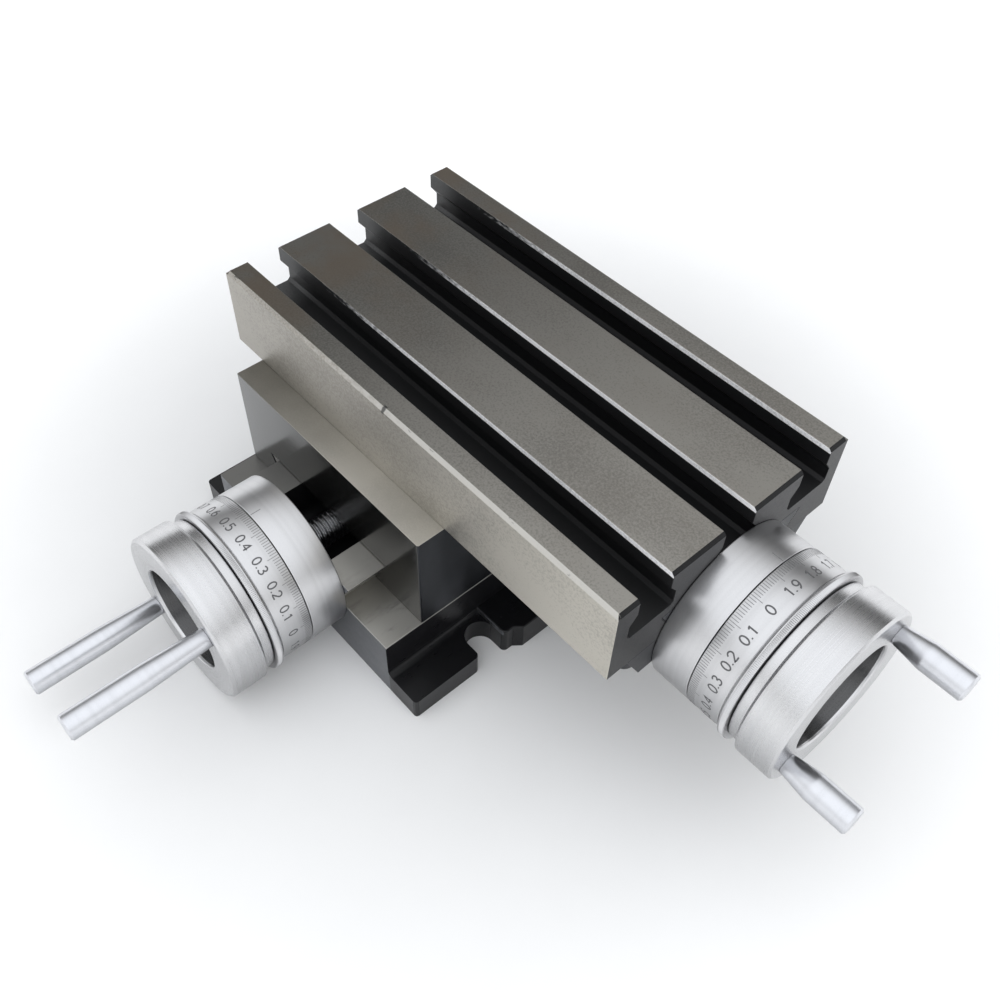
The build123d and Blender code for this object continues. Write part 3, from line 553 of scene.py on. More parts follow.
def mesh_object(name: str, points: np.ndarray, faces: np.ndarray, sharp: float = SHARP,
                ends: tuple[range, ...] = ()) -> bpy.types.Object:
    """A mesh object from arrays, shaded smooth except across sharp edges.

    Args:
        name: The object's name.
        points: Vertices, one row each.
        faces: Quads, one row of four vertex numbers each. A quad may name a vertex twice in a row.
        sharp: Edges that turn by more than this many degrees stay sharp.
        ends: Flat faces of many corners, each a run of vertex numbers.

    Returns:
        The object, linked into the scene.
    """
    mesh = bpy.data.meshes.new(name)
    mesh.from_pydata(points.tolist(), [], faces.tolist() + [list(end) for end in ends])
    made = bpy.data.objects.new(name, mesh)
    bpy.context.scene.collection.objects.link(made)
    tidy_mesh(mesh)
    shade(mesh, sharp)
    return made


def tidy_mesh(mesh: bpy.types.Mesh, dissolve: bool = False) -> None:
    """Merge doubled vertices, turn faces outwards and, if asked, join flat neighbours."""
    work = bmesh.new()
    work.from_mesh(mesh)
    bmesh.ops.remove_doubles(work, verts=work.verts, dist=0.002 * MM)
    if dissolve:
        bmesh.ops.dissolve_limit(work, angle_limit=radians(0.6), verts=work.verts, edges=work.edges)
    else:
        wide = [face for face in work.faces if len(face.verts) > 4]
        bmesh.ops.triangulate(work, faces=wide, ngon_method="EAR_CLIP")
    bmesh.ops.recalc_face_normals(work, faces=work.faces)
    work.to_mesh(mesh)
    work.free()


def shade(mesh: bpy.types.Mesh, sharp: float) -> None:
    """Shade smooth, with edges sharp where they turn by more than sharp degrees."""
    mesh.polygons.foreach_set("use_smooth", np.ones(len(mesh.polygons), bool))
    mesh.set_sharp_from_angle(angle=radians(sharp))


def rounded(corners: list[tuple[float, float, float]], closed: bool, steps: int = 4) -> np.ndarray:
    """An outline with its corners rounded.

    Each corner (a, r, radius) is replaced by points on the circle arc that touches both of its sides. The arc
    starts and ends at radius times the tangent of half the turn from the corner, or less where a side is
    short.

    Args:
        corners: Distance along the axis, distance from it, and rounding radius of each corner.
        closed: Whether the last corner joins the first.
        steps: Spans on each arc.

    Returns:
        The outline's points, one row of (a, r) each.
    """
    points = np.array([corner[:2] for corner in corners])
    pieces = []
    count = len(points)
    for index, (_, _, radius) in enumerate(corners):
        here = points[index]
        if radius == 0 or (not closed and index in (0, count - 1)):
            pieces.append(here[None])
            continue
        back = points[index - 1] - here
        ahead = points[(index + 1) % count] - here
        lengths = np.linalg.norm(back), np.linalg.norm(ahead)
        back, ahead = back / lengths[0], ahead / lengths[1]
        half = np.arccos(np.clip(back @ ahead, -1, 1)) / 2
        reach = min(radius / np.tan(half), 0.48 * min(lengths))
        radius = reach * np.tan(half)
        middle = here + (back + ahead) / np.linalg.norm(back + ahead) * radius / np.sin(half)
        start, end = here + back * reach - middle, here + ahead * reach - middle
        share = np.linspace(0, 1, steps + 1)[:, None]
        angle = pi - 2 * half
        arc = (start * np.sin((1 - share) * angle) + end * np.sin(share * angle)) / np.sin(angle)
        pieces.append(middle + arc)
    return np.concatenate(pieces)


@dataclass(frozen=True)
class Lathe:
    """An axis to turn pieces about: distances along it start at the origin and grow outwards."""

    origin: Point
    out: Point
    across: Point

    @property
    def basis(self) -> tuple[np.ndarray, np.ndarray, np.ndarray, np.ndarray]:
        """The origin and the directions out, across and up."""
        out = np.array(self.out)
        across = np.array(self.across)
        return np.array(self.origin), out, across, np.cross(out, across)

    def points(self, along: np.ndarray, radius: np.ndarray, angle: np.ndarray) -> np.ndarray:
        """Points in the part's frame: origin + out * along + radius * (across * cos + up * sin)."""
        origin, out, across, up = self.basis
        along, radius, angle = (item[..., None] for item in np.broadcast_arrays(along, radius, angle))
        return origin + out * along + radius * (across * np.cos(angle) + up * np.sin(angle))

    def turn(self, name: str, corners: list[tuple[float, float, float]], closed: bool, sides: int = 160,
             teeth: "Serration | None" = None, steps: int = 4) -> bpy.types.Object:
        """A turned piece: an outline carried round the axis.

        The grid runs along the rounded outline one way and round the axis the other way. Serrations lower the
        radius by depth times a triangle wave of the angle between two distances along the axis.

        Args:
            name: The piece's name.
            corners: The outline, as rounded() takes it.
            closed: Whether the outline is a ring, or starts and ends on the axis.
            sides: Grid steps round the axis.
            teeth: Serrations cut into the outline, if any.
            steps: Spans on each rounded corner.

        Returns:
            The piece.
        """
        outline = rounded(corners, closed, steps)
        angle = np.linspace(0, 2 * pi, sides, endpoint=False)
        along, radius = outline[:, 0][:, None], outline[:, 1][:, None] * np.ones((1, sides))
        if teeth is not None:
            radius = radius - teeth.depth_at(along, radius, angle)
        grid = self.points(along, radius, angle)
        return mesh_object(name, grid.reshape(-1, 3), grid_faces(len(outline), sides, closed))

    def handle_axis(self, front: float, circle: float, angle: float) -> "Lathe":
        """The axis of a handle that stands at an angle on a circle of the wheel's face at front."""
        point = self.points(np.array(front), np.array(circle), np.array(angle))
        return Lathe(tuple(point), self.out, self.across)


@dataclass(frozen=True)
class Prism:
    """A bar with one outline all along X, whose ends are chamfered at the top and rounded all round.

    The grid's rows are copies of the outline at places along the bar. Within edge of an end, at a share s of
    it, the outline shrinks by edge * (1 - sqrt(1 - (1 - s)**2)). Within chamfer of an end, no point stands
    above a plane that falls at 45 degrees towards it.
    """

    corners: list[tuple[float, float, float]]
    start: float
    end: float
    top: float
    chamfer: float
    edge: float = 0.15 * MM

    def row(self, outline: np.ndarray, inward: np.ndarray, depth: float) -> np.ndarray:
        """The outline at a depth inside an end: its (across, height) rows."""
        share = np.clip(depth / self.edge, 0, 1)
        shrink = self.edge * (1 - np.sqrt(1 - (1 - share) ** 2))
        held = outline + inward * shrink
        held[:, 1] = np.minimum(held[:, 1], self.top - max(0.0, self.chamfer - depth))
        return held

    def make(self, name: str) -> bpy.types.Object:
        """Build the bar.

        Args:
            name: The piece's name.

        Returns:
            The piece.
        """
        outline = rounded(self.corners, True, 4)
        along = np.roll(outline, -1, axis=0) - np.roll(outline, 1, axis=0)
        along /= np.linalg.norm(along, axis=1)[:, None]
        inward = np.stack([-along[:, 1], along[:, 0]], axis=1)
        depths = np.array([0.0, 0.15, 0.5, 1.0]) * self.edge
        depths = np.append(depths, self.chamfer)
        places = [(self.start + depth, depth) for depth in depths]
        places += [(self.end - depth, depth) for depth in depths[::-1]]
        rows = []
        for x, depth in places:
            flat = self.row(outline, inward, depth)
            rows.append(np.column_stack([np.full(len(flat), x), flat]))
        count = len(outline)
        faces = grid_faces(count, len(rows), True)
        faces = faces[(faces % len(rows))[:, 0] != len(rows) - 1]
        points = np.stack(rows, axis=1).reshape(-1, 3)
        total = count * len(rows)
        ends = (range(0, total, len(rows)), range(len(rows) - 1, total, len(rows)))
        return mesh_object(name, points, faces, 0.0, ends)


@dataclass(frozen=True)
class Serration:
    """Fine axial grooves round a band of a turned piece."""

    start: float
    end: float
    floor_radius: float
    depth: float
    count: int

    def depth_at(self, along: np.ndarray, radius: np.ndarray, angle: np.ndarray) -> np.ndarray:
        """Depth of the grooves: depth times a triangle wave of count turns, in the band above its floor."""
        wave = 1 - abs((angle * self.count / pi) % 2 - 1)
        inside = (along >= self.start) & (along <= self.end) & (radius > self.floor_radius)
        return inside * self.depth * wave


def grid_faces(rows: int, columns: int, closed: bool) -> np.ndarray:
    """Quads of a grid that is closed along its columns, and along its rows too if asked.

    Args:
        rows: Points along the outline.
        columns: Points round the axis.
        closed: Whether the last row joins the first.

    Returns:
        Quads as vertex numbers.
    """
    row = np.arange(rows if closed else rows - 1)[:, None]
    column = np.arange(columns)[None]
    after, beside = (row + 1) % rows, (column + 1) % columns
    corners = np.broadcast_arrays(row * columns + column, row * columns + beside, after * columns + beside,
                                  after * columns + column)
    return np.stack(corners, axis=-1).reshape(-1, 4)


def threaded(name: str, lathe: Lathe, start: float, end: float, radius: float, pitch: float, depth: float,
             hand: int) -> bpy.types.Object:
    """A screw thread: the radius drops by depth times a flattened triangle wave of along / pitch less the turn.

    Args:
        name: The piece's name.
        lathe: The screw's axis.
        start: Inner end along the axis.
        end: Outer end along the axis.
        radius: Outside radius.
        pitch: Distance between turns.
        depth: Depth of the groove.
        hand: 1 for a right-hand thread, -1 for a left-hand one.

    Returns:
        The thread, closed at both ends.
    """
    sides, rows_each_turn = 40, 8
    rows = int((end - start) / pitch * rows_each_turn) + 1
    along = np.linspace(start, end, rows)[:, None]
    angle = np.linspace(0, 2 * pi, sides, endpoint=False)[None]
    wave = abs(((along / pitch - hand * angle / (2 * pi)) * 2) % 2 - 1)
    fade = np.clip(np.minimum(along - start, end - along) / pitch, 0, 1)
    body = radius - depth * (1 - np.clip((wave - 0.3) / 0.4, 0, 1)) * fade - (1 - fade) * 0.25 * depth
    along = np.concatenate([along[:1], along, along[-1:]])
    body = np.concatenate([np.zeros((1, sides)), body, np.zeros((1, sides))])
    grid = lathe.points(along, body, angle)
    return mesh_object(name, grid.reshape(-1, 3), grid_faces(rows + 2, sides, False), 60.0)


def softened(node: str, name: str, width: float, sharp: float = 30.0) -> bpy.types.Object:
    """A copy of a node with its long sharp edges bevelled, which stands for the node.

    Flat faces are shaded flat. Only bevels, and narrow faces that turn a little from their neighbours, as
    round a fillet, are shaded smooth.

    Args:
        node: The node.
        name: The new piece's name.
        width: Width of the bevel.
        sharp: Edges that turn by more than this many degrees are bevelled.

    Returns:
        The piece.
    """
    least_turn, largest_curved, least_length = radians(1.0), 60 * MM**2, 2.5 * MM
    shading_margin = 5.0
    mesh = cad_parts[node].data.copy()
    mesh.name = name
    made = bpy.data.objects.new(name, mesh)
    bpy.context.scene.collection.objects.link(made)
    tidy_mesh(mesh, dissolve=True)
    work = bmesh.new()
    work.from_mesh(mesh)
    chosen, curved = [], set()
    for edge in work.edges:
        turn = edge.calc_face_angle(0.0) if len(edge.link_faces) == 2 else 0.0
        if least_turn < turn <= radians(sharp):
            curved.update(edge.link_faces)
        narrow = min((face.calc_area() / edge.calc_length() for face in edge.link_faces), default=0.0)
        if turn > radians(sharp) and edge.calc_length() > least_length and narrow > 3 * width:
            chosen.append(edge)
    for face in work.faces:
        face.smooth = face in curved and face.calc_area() < largest_curved
    bevel = bmesh.ops.bevel(work, geom=chosen, offset=width, segments=2, profile=0.5, affect="EDGES",
                            clamp_overlap=False)
    for face in bevel["faces"]:
        face.smooth = True
    wide = [face for face in work.faces if len(face.verts) > 4]
    bmesh.ops.triangulate(work, faces=wide, ngon_method="EAR_CLIP")
    work.to_mesh(mesh)
    work.free()
    smooth = np.empty(len(mesh.polygons), bool)
    mesh.polygons.foreach_get("use_smooth", smooth)
    mesh.set_sharp_from_angle(angle=radians(sharp - shading_margin))
    mesh.polygons.foreach_set("use_smooth", smooth)
    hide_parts(node)
    return made


def drilled(piece: bpy.types.Object, cutters: list[bpy.types.Object]) -> None:
    """Cut holes into a piece and take the cutters away.

    Args:
        piece: The piece.
        cutters: Closed pieces of the holes' shapes.
    """
    for cutter in cutters:
        cut = piece.modifiers.new("hole", "BOOLEAN")
        cut.operation = "DIFFERENCE"
        cut.object = cutter
        cut.solver = "EXACT"
    bpy.context.view_layer.update()
    result = bpy.data.meshes.new_from_object(piece.evaluated_get(bpy.context.evaluated_depsgraph_get()))
    piece.modifiers.clear()
    piece.data = result
    shade(result, SHARP)
    for cutter in cutters:
        bpy.data.objects.remove(cutter)


def dress(piece: bpy.types.Object, material: bpy.types.Material) -> None:
    """Give a piece its material."""
    piece.data.materials.clear()
    piece.data.materials.append(material)


def dress_node(node: str, material: bpy.types.Material) -> None:
    """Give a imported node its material, without changing its mesh."""
    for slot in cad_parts[node].material_slots:
        slot.material = material
    log.info("node %s wears %s", node, material.name)


class Digit:
    """Strokes of the dial's figures, in a box 0.6 wide and 1 high, as an engraver's pen would draw them."""

    WIDTH = 0.6
    GAP = 0.26

    @staticmethod
    def line(*points: tuple[float, float]) -> np.ndarray:
        """A stroke through points, with a few more between them."""
        ends = np.array(points, float)
        share = np.linspace(0, 1, 4)[:-1, None]
        runs = [start + (end - start) * share for start, end in zip(ends, ends[1:])]
        return np.concatenate([*runs, ends[-1:]])

    @staticmethod
    def arc(x: float, y: float, rx: float, ry: float, start: float, end: float) -> np.ndarray:
        """A stroke on an ellipse round (x, y), from start to end in degrees."""
        angle = np.radians(np.linspace(start, end, 18))
        return np.stack([x + rx * np.cos(angle), y + ry * np.sin(angle)], axis=1)

    @classmethod
    def strokes(cls, figure: str) -> list[np.ndarray]:
        """The strokes of one figure.

        Args:
            figure: A digit, or a point.

        Returns:
            One array of points for each stroke.
        """
        shapes = {
            "0": [cls.arc(0.3, 0.5, 0.28, 0.5, 0, 360)],
            "1": [cls.line((0.14, 0.78), (0.36, 1.0), (0.36, 0.0))],
            "2": [np.concatenate([cls.arc(0.3, 0.7, 0.28, 0.3, 165, -35), cls.line((0.02, 0.0), (0.6, 0.0))])],
            "3": [cls.arc(0.28, 0.76, 0.25, 0.24, 150, -90), cls.arc(0.28, 0.26, 0.3, 0.26, 90, -150)],
            "4": [cls.line((0.44, 0.0), (0.44, 1.0), (0.0, 0.3), (0.6, 0.3))],
            "5": [cls.line((0.54, 1.0), (0.1, 1.0), (0.06, 0.56)), cls.arc(0.28, 0.32, 0.3, 0.32, 138, -140)],
            "6": [cls.arc(0.3, 0.3, 0.28, 0.3, 0, 360), cls.arc(0.56, 0.32, 0.54, 0.68, 105, 180)],
            "7": [cls.line((0.02, 1.0), (0.58, 1.0), (0.2, 0.0))],
            "8": [cls.arc(0.3, 0.76, 0.22, 0.24, 0, 360), cls.arc(0.3, 0.26, 0.28, 0.26, 0, 360)],
            "9": [cls.arc(0.3, 0.7, 0.28, 0.3, 0, 360), cls.arc(0.04, 0.68, 0.54, 0.68, -75, 0)],
            ".": [cls.line((0.0, 0.0), (0.0, 0.13))],
        }
        return shapes[figure]

    @classmethod
    def width(cls, figure: str) -> float:
        """How wide one figure is."""
        return 0.0 if figure == "." else cls.WIDTH

    @classmethod
    def word(cls, text: str) -> list[np.ndarray]:
        """The strokes of a number, centred on x = 0.

        Args:
            text: The number.

        Returns:
            One array of points for each stroke.
        """
        total = sum(cls.width(figure) for figure in text) + cls.GAP * (len(text) - 1)
        place = -total / 2
        strokes = []
        for figure in text:
            strokes += [stroke + (place, 0.0) for stroke in cls.strokes(figure)]
            place += cls.width(figure) + cls.GAP
        return strokes


def ribbon(stroke: np.ndarray, width: float) -> tuple[np.ndarray, np.ndarray]:
    """Both sides of a pen stroke: each point moved by half the width, square to the stroke's direction there.

    Args:
        stroke: The stroke's points.
        width: The pen's width.

    Returns:
        The left side and the right side.
    """
    along = np.gradient(stroke, axis=0)
    along /= np.linalg.norm(along, axis=1)[:, None]
    side = np.stack([-along[:, 1], along[:, 0]], axis=1) * width / 2
    return stroke + side, stroke - side


@dataclass
class Graduation:
    """Inked lines and figures let into a dial's cylinder."""

    lathe: Lathe
    radius: float
    edge: float
    zero: float
    numbers: int = 20
    parts: int = 10
    short_line: float = 3.1 * MM
    long_line: float = 4.6 * MM
    line_width: float = 0.20 * MM
    figure_height: float = 3.4 * MM
    figure_gap: float = 1.3 * MM
    pen: float = 0.54 * MM
    proud: float = 0.03 * MM
    sunk: float = 0.15 * MM

    def inlay(self, left: np.ndarray, right: np.ndarray) -> tuple[np.ndarray, np.ndarray]:
        """A closed strip between two sides, wrapped on the cylinder.

        Each point (x, y) goes to the angle zero + x / radius and the distance edge + y along the axis, once a
        little proud of the cylinder and once sunk into it.

        Args:
            left: Left side of the strip, as (x, y) rows.
            right: Right side of the strip.

        Returns:
            The strip's points and its quads.
        """
        section = np.stack([left, right, right, left])
        height = np.array([self.proud, self.proud, -self.sunk, -self.sunk])[:, None]
        angle = self.zero + section[..., 0] / self.radius
        points = self.lathe.points(self.edge + section[..., 1], self.radius + height, angle)
        count = len(left)
        step = np.arange(count - 1)
        walls = [np.stack([a * count + step, a * count + step + 1, b * count + step + 1, b * count + step], 1)
                 for a, b in ((0, 1), (1, 2), (2, 3), (3, 0))]
        ends = [np.array([[0, count, 2 * count, 3 * count]]) + end for end in (0, count - 1)]
        return points.reshape(-1, 3), np.concatenate([*walls, *ends])

    def straight(self, x: float, run: np.ndarray, width: float) -> tuple[np.ndarray, np.ndarray]:
        """A line of a width that stands at x and runs along the axis."""
        left, right = (np.stack([np.full(len(run), x + side), run], 1) for side in (-width / 2, width / 2))
        return self.inlay(left, right)

    def collect(self, name: str, strips: list[tuple[np.ndarray, np.ndarray]]) -> bpy.types.Object:
        """Join strips into one piece.

        Args:
            name: The piece's name.
            strips: Points and quads of each strip.

        Returns:
            The piece.
        """
        starts = np.cumsum([0] + [len(points) for points, _ in strips[:-1]])
        points = np.concatenate([points for points, _ in strips])
        faces = np.concatenate([quads + start for (_, quads), start in zip(strips, starts)])
        return mesh_object(name, points, faces, 20.0)

    def lines(self, name: str) -> bpy.types.Object:
        """The graduation's lines, a longer one at each number."""
        strips = []
        count = self.numbers * self.parts
        for index in range(count):
            length = self.long_line if index % self.parts == 0 else self.short_line
            x = index * 2 * pi * self.radius / count
            strips.append(self.straight(x, np.linspace(0.25 * MM, length, 3), self.line_width))
        return self.collect(name, strips)

    def figures(self, name: str) -> bpy.types.Object:
        """The numbers, with their tops towards the slide."""
        strips = []
        foot = self.long_line + self.figure_gap + self.figure_height
        for index in range(self.numbers):
            text = "0" if index == 0 else f"{index / self.parts:.1f}"
            if index == self.parts:
                text = "1"
            x = index * 2 * pi * self.radius / self.numbers
            for stroke in Digit.word(text):
                placed = np.array([x, foot]) - stroke * self.figure_height
                strips.append(self.inlay(*ribbon(placed, self.pen)))
        return self.collect(name, strips)


@dataclass(frozen=True)
class Grip:
    """Outline of a handle above the wheel's face."""

    length: float
    root_radius: float
    knee: float
    knee_radius: float
    end_radius: float


class Handle(Enum):
    """The two kinds of wheel handle."""

    SHORT = Grip(25.2 * MM, 3.5 * MM, 10.3 * MM, 5.0 * MM, 5.0 * MM)
    LONG = Grip(51.8 * MM, 3.7 * MM, 23.3 * MM, 4.75 * MM, 4.85 * MM)


@dataclass(frozen=True)
class Finishes:
    """The finishes that several sub-assemblies share."""

    black: bpy.types.Material
    steel: bpy.types.Material
    bronze: bpy.types.Material
    spring: bpy.types.Material
    ink: bpy.types.Material
    faint_ink: bpy.types.Material

    @classmethod
    def make(cls) -> "Finishes":
        """Build the shared finishes."""
        return cls(
            black=PlainFinish("black_oxide", (0.030, 0.030, 0.033), 0.34, 0.6).make(),
            steel=PlainFinish("machined_steel", (0.45, 0.45, 0.46), 0.30).make(),
            bronze=PlainFinish("bearing_bronze", (0.52, 0.33, 0.14), 0.34).make(),
            spring=PlainFinish("spring_steel", (0.30, 0.31, 0.33), 0.28).make(),
            ink=PlainFinish("dial_ink", (0.10, 0.10, 0.105), 0.5, 0.0).make(),
            faint_ink=PlainFinish("dial_line_ink", (0.20, 0.20, 0.205), 0.5, 0.0).make(),
        )


@dataclass
class Spindle:
    """A leadscrew with its bearing flange, dial, handwheel and handles.

    Distances along the axis run out from the flange's foot.
    """

    prefix: str
    host: str
    lathe: Lathe
    along: int
    handle: Handle
    handle_angle: float
    zero_angle: float
    thread_start: float
    thread_hand: int
    flange_tilt: float
    flange_radius: float = 31.5 * MM
    flange_length: float = 14.9 * MM
    pocket_radius: float = 11.0 * MM
    inner_pocket: float = 6.0 * MM
    outer_pocket: float = 12.4 * MM
    screw_circle: float = 23.5 * MM
    screw_hole: float = 2.75 * MM
    head_hole: float = 4.5 * MM
    head_seat: float = 9.4 * MM
    running_gap: float = 0.05 * MM
    witness_width: float = 0.28 * MM
    dial_start: float = 15.2 * MM
    line_place: float = 27.7 * MM
    dial_end: float = 31.2 * MM
    dial_bore: float = 22.05 * MM
    bead_radius: float = 33.0 * MM
    neck_start: float = 31.5 * MM
    rim_start: float = 35.8 * MM
    rim_front: float = 49.5 * MM
    rim_radius: float = 33.2 * MM
    recess_radius: float = 20.5 * MM
    recess_floor: float = 36.0 * MM
    handle_circle: float = 26.0 * MM
    thread_radius: float = 6.0 * MM
    thread_pitch: float = 2.0 * MM
    journal_radius: float = 5.0 * MM
    thread_depth: float = 1.15 * MM

    @property
    def spindle_body(self) -> str:
        """The body of the screw and wheel."""
        return f"{self.prefix}_spindle"

    def turned(self, colour: Colour, roughness: float, name: str, depth: float = 0.006 * MM,
               centre: Point | None = None, recess: bool = False) -> bpy.types.Material:
        """A turned finish about this spindle's axis, or about one that runs beside it.

        Args:
            colour: The metal's colour.
            roughness: Its roughness.
            name: The finish's name.
            depth: Depth of its rings.
            centre: A point on its axis, if that isn't the spindle's.
            recess: Whether the wheel's recess gets painted shade.

        Returns:
            The material.
        """
        limits = (self.recess_radius + 0.4 * MM, self.rim_front - 1.2 * MM) if recess else (0.0, 0.0)
        return TurnedFinish(f"{self.prefix}_{name}", centre or self.lathe.origin, self.along, colour,
                            roughness, depth, recess_radius=limits[0], recess_front=limits[1]).make()

    def place(self, piece: bpy.types.Object, body: str, material: bpy.types.Material, slot: str,
              node: str | None) -> None:
        """Dress a piece, set it on its body and let it stand for a node."""
        dress(piece, material)
        if node:
            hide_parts(node)
        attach(piece, body)
        log.info("%s rides on %s", piece.name, body)

    def drill(self, radius: float, circle: float, angle: float, start: float, end: float) -> bpy.types.Object:
        """A cutter for a hole square to the wheel's face."""
        axis = self.lathe.handle_axis(0.0, circle, angle)
        corners = [(start, 0.0, 0), (start, radius, 0), (end, radius, 0), (end, 0.0, 0)]
        return axis.turn(f"{self.prefix}_cutter", corners, False, 40)

    def make_flange(self, material: bpy.types.Material) -> None:
        """The bearing flange, with its pockets and the sunk holes of its screws."""
        r, pocket = self.flange_radius, self.pocket_radius
        bore = self.journal_radius + self.running_gap
        corners = [
            (0.0, pocket, 0.1 * MM), (0.0, r, 0.45 * MM), (self.flange_length, r, 0.3 * MM),
            (self.flange_length, pocket, 0.2 * MM), (self.outer_pocket, pocket, 0.0),
            (self.outer_pocket, bore, 0.0), (self.inner_pocket, bore, 0.0), (self.inner_pocket, pocket, 0.0),
        ]
        flange = self.lathe.turn(f"{self.prefix}_flange_body", corners, True)
        angles = [0.0, self.flange_tilt, pi - self.flange_tilt, pi]
        before, past, circle = -1 * MM, 16 * MM, self.screw_circle
        holes = [self.drill(self.screw_hole, circle, angle, before, past) for angle in angles]
        heads = [self.drill(self.head_hole, circle, angle, self.head_seat, past) for angle in angles]
        drilled(flange, holes + heads)
        self.place(flange, self.host, material, "satin_aluminium", f"{self.prefix}_bearing_flange")

    def make_witness(self, ink: bpy.types.Material, angle: float) -> None:
        """The witness line on the flange, against which the dial is read."""
        scale = Graduation(self.lathe, self.flange_radius, 0.0, angle)
        run = np.linspace(self.flange_length - 4.4 * MM, self.flange_length - 0.35 * MM, 4)
        line = scale.collect(f"{self.prefix}_witness_line", [scale.straight(0.0, run, self.witness_width)])
        self.place(line, self.host, ink, "blackened_steel", None)

    def make_dial(self, metal: bpy.types.Material, shared: Finishes) -> None:
        """The dial with its engraved line, serrated bead, graduation and figures."""
        r = self.flange_radius
        cut = 0.3 * MM
        corners = [
            (self.dial_start, self.dial_bore, 0.1 * MM), (self.dial_start, r, 0.2 * MM),
            (self.line_place, r, 0.04 * MM), (self.line_place, r - cut, 0.0),
            (self.line_place + 0.25 * MM, r - cut, 0.0), (self.line_place + 0.25 * MM, r + 0.1 * MM, 0.05 * MM),
            (self.line_place + 1.1 * MM, self.bead_radius, 0.5 * MM), (29.3 * MM, self.bead_radius, 0.0),
            (29.32 * MM, self.bead_radius, 0.0), (self.dial_end - 0.32 * MM, self.bead_radius, 0.0),
            (self.dial_end, self.bead_radius - 0.3 * MM, 0.0), (self.dial_end, self.dial_bore, 0.1 * MM),
        ]
        grooves, sides_each = 330, 4
        teeth = Serration(29.31 * MM, self.dial_end - 0.3 * MM, r + 0.5 * MM, 0.22 * MM, grooves)
        body = f"{self.prefix}_dial"
        ring = self.lathe.turn(f"{body}_ring", corners, True, grooves * sides_each, teeth, 3)
        self.place(ring, body, metal, "satin_aluminium", body)
        scale = Graduation(self.lathe, r, self.dial_start, self.zero_angle)
        self.place(scale.lines(f"{body}_lines"), body, shared.faint_ink, "blackened_steel", None)
        self.place(scale.figures(f"{body}_figures"), body, shared.ink, "blackened_steel", None)

    def make_wheel(self, metal: bpy.types.Material) -> None:
        """The handwheel: hub, boss with the spring's groove, neck, and rim with its front recess."""
        bore = self.journal_radius + self.running_gap
        hub, boss, groove, neck = 10.4 * MM, 22.0 * MM, 20.8 * MM, 31.0 * MM
        front, chamfer = self.rim_front, 0.9 * MM
        corners = [
            (14.0 * MM, bore, 0.0), (14.0 * MM, hub, 0.2 * MM), (self.dial_start, hub, 0.2 * MM),
            (self.dial_start, boss, 0.3 * MM), (20.2 * MM, boss, 0.1 * MM), (20.2 * MM, groove, 0.0),
            (26.2 * MM, groove, 0.0), (26.2 * MM, boss, 0.1 * MM), (self.neck_start, boss, 0.2 * MM),
            (self.neck_start, neck, 0.4 * MM), (self.rim_start - chamfer, neck, 0.3 * MM),
            (self.rim_start, 31.9 * MM, 0.2 * MM), (self.rim_start, self.rim_radius, 0.5 * MM),
            (front - chamfer, self.rim_radius, 0.3 * MM), (front, self.rim_radius - chamfer, 0.3 * MM),
            (front, self.recess_radius + 0.5 * MM, 0.3 * MM), (front - 0.5 * MM, self.recess_radius, 0.3 * MM),
            (self.recess_floor, 18.5 * MM, 3.0 * MM), (self.recess_floor, bore, 0.0),
        ]
        wheel = self.lathe.turn(f"{self.prefix}_wheel", corners, True)
        angles = [self.handle_angle, self.handle_angle + pi]
        drilled(wheel, [self.drill(3.05 * MM, self.handle_circle, angle, front - 9 * MM, front + 1 * MM)
                        for angle in angles])
        self.place(wheel, self.spindle_body, metal, "satin_aluminium", f"{self.prefix}_handwheel")

    def make_handles(self) -> None:
        """Both handles, each one turned piece with its stud, bright with rings round its own axis."""
        grip = self.handle.value
        foot = 0.05 * MM
        tip = foot + grip.length
        edge = 0.7 * MM
        corners = [
            (-8.0 * MM, 0.0, 0.0), (-8.0 * MM, 2.3 * MM, 0.0), (-7.3 * MM, 3.0 * MM, 0.1 * MM),
            (foot, 3.0 * MM, 0.0), (foot + 0.01 * MM, grip.root_radius, 0.1 * MM),
            (foot + grip.knee, grip.knee_radius, 8.0 * MM), (tip - edge, grip.end_radius, 0.35 * MM),
            (tip, grip.end_radius - edge, 0.35 * MM), (tip, 0.0, 0.0),
        ]
        for letter, angle in (("a", self.handle_angle), ("b", self.handle_angle + pi)):
            axis = self.lathe.handle_axis(self.rim_front, self.handle_circle, angle)
            handle = axis.turn(f"{self.prefix}_grip_{letter}", corners, False, 96, None, 6)
            metal = self.turned((0.64, 0.65, 0.68), 0.31, f"handle_{letter}_steel", 0.0015 * MM, axis.origin)
            self.place(handle, self.spindle_body, metal, "handle_steel", f"{self.prefix}_handle_{letter}")

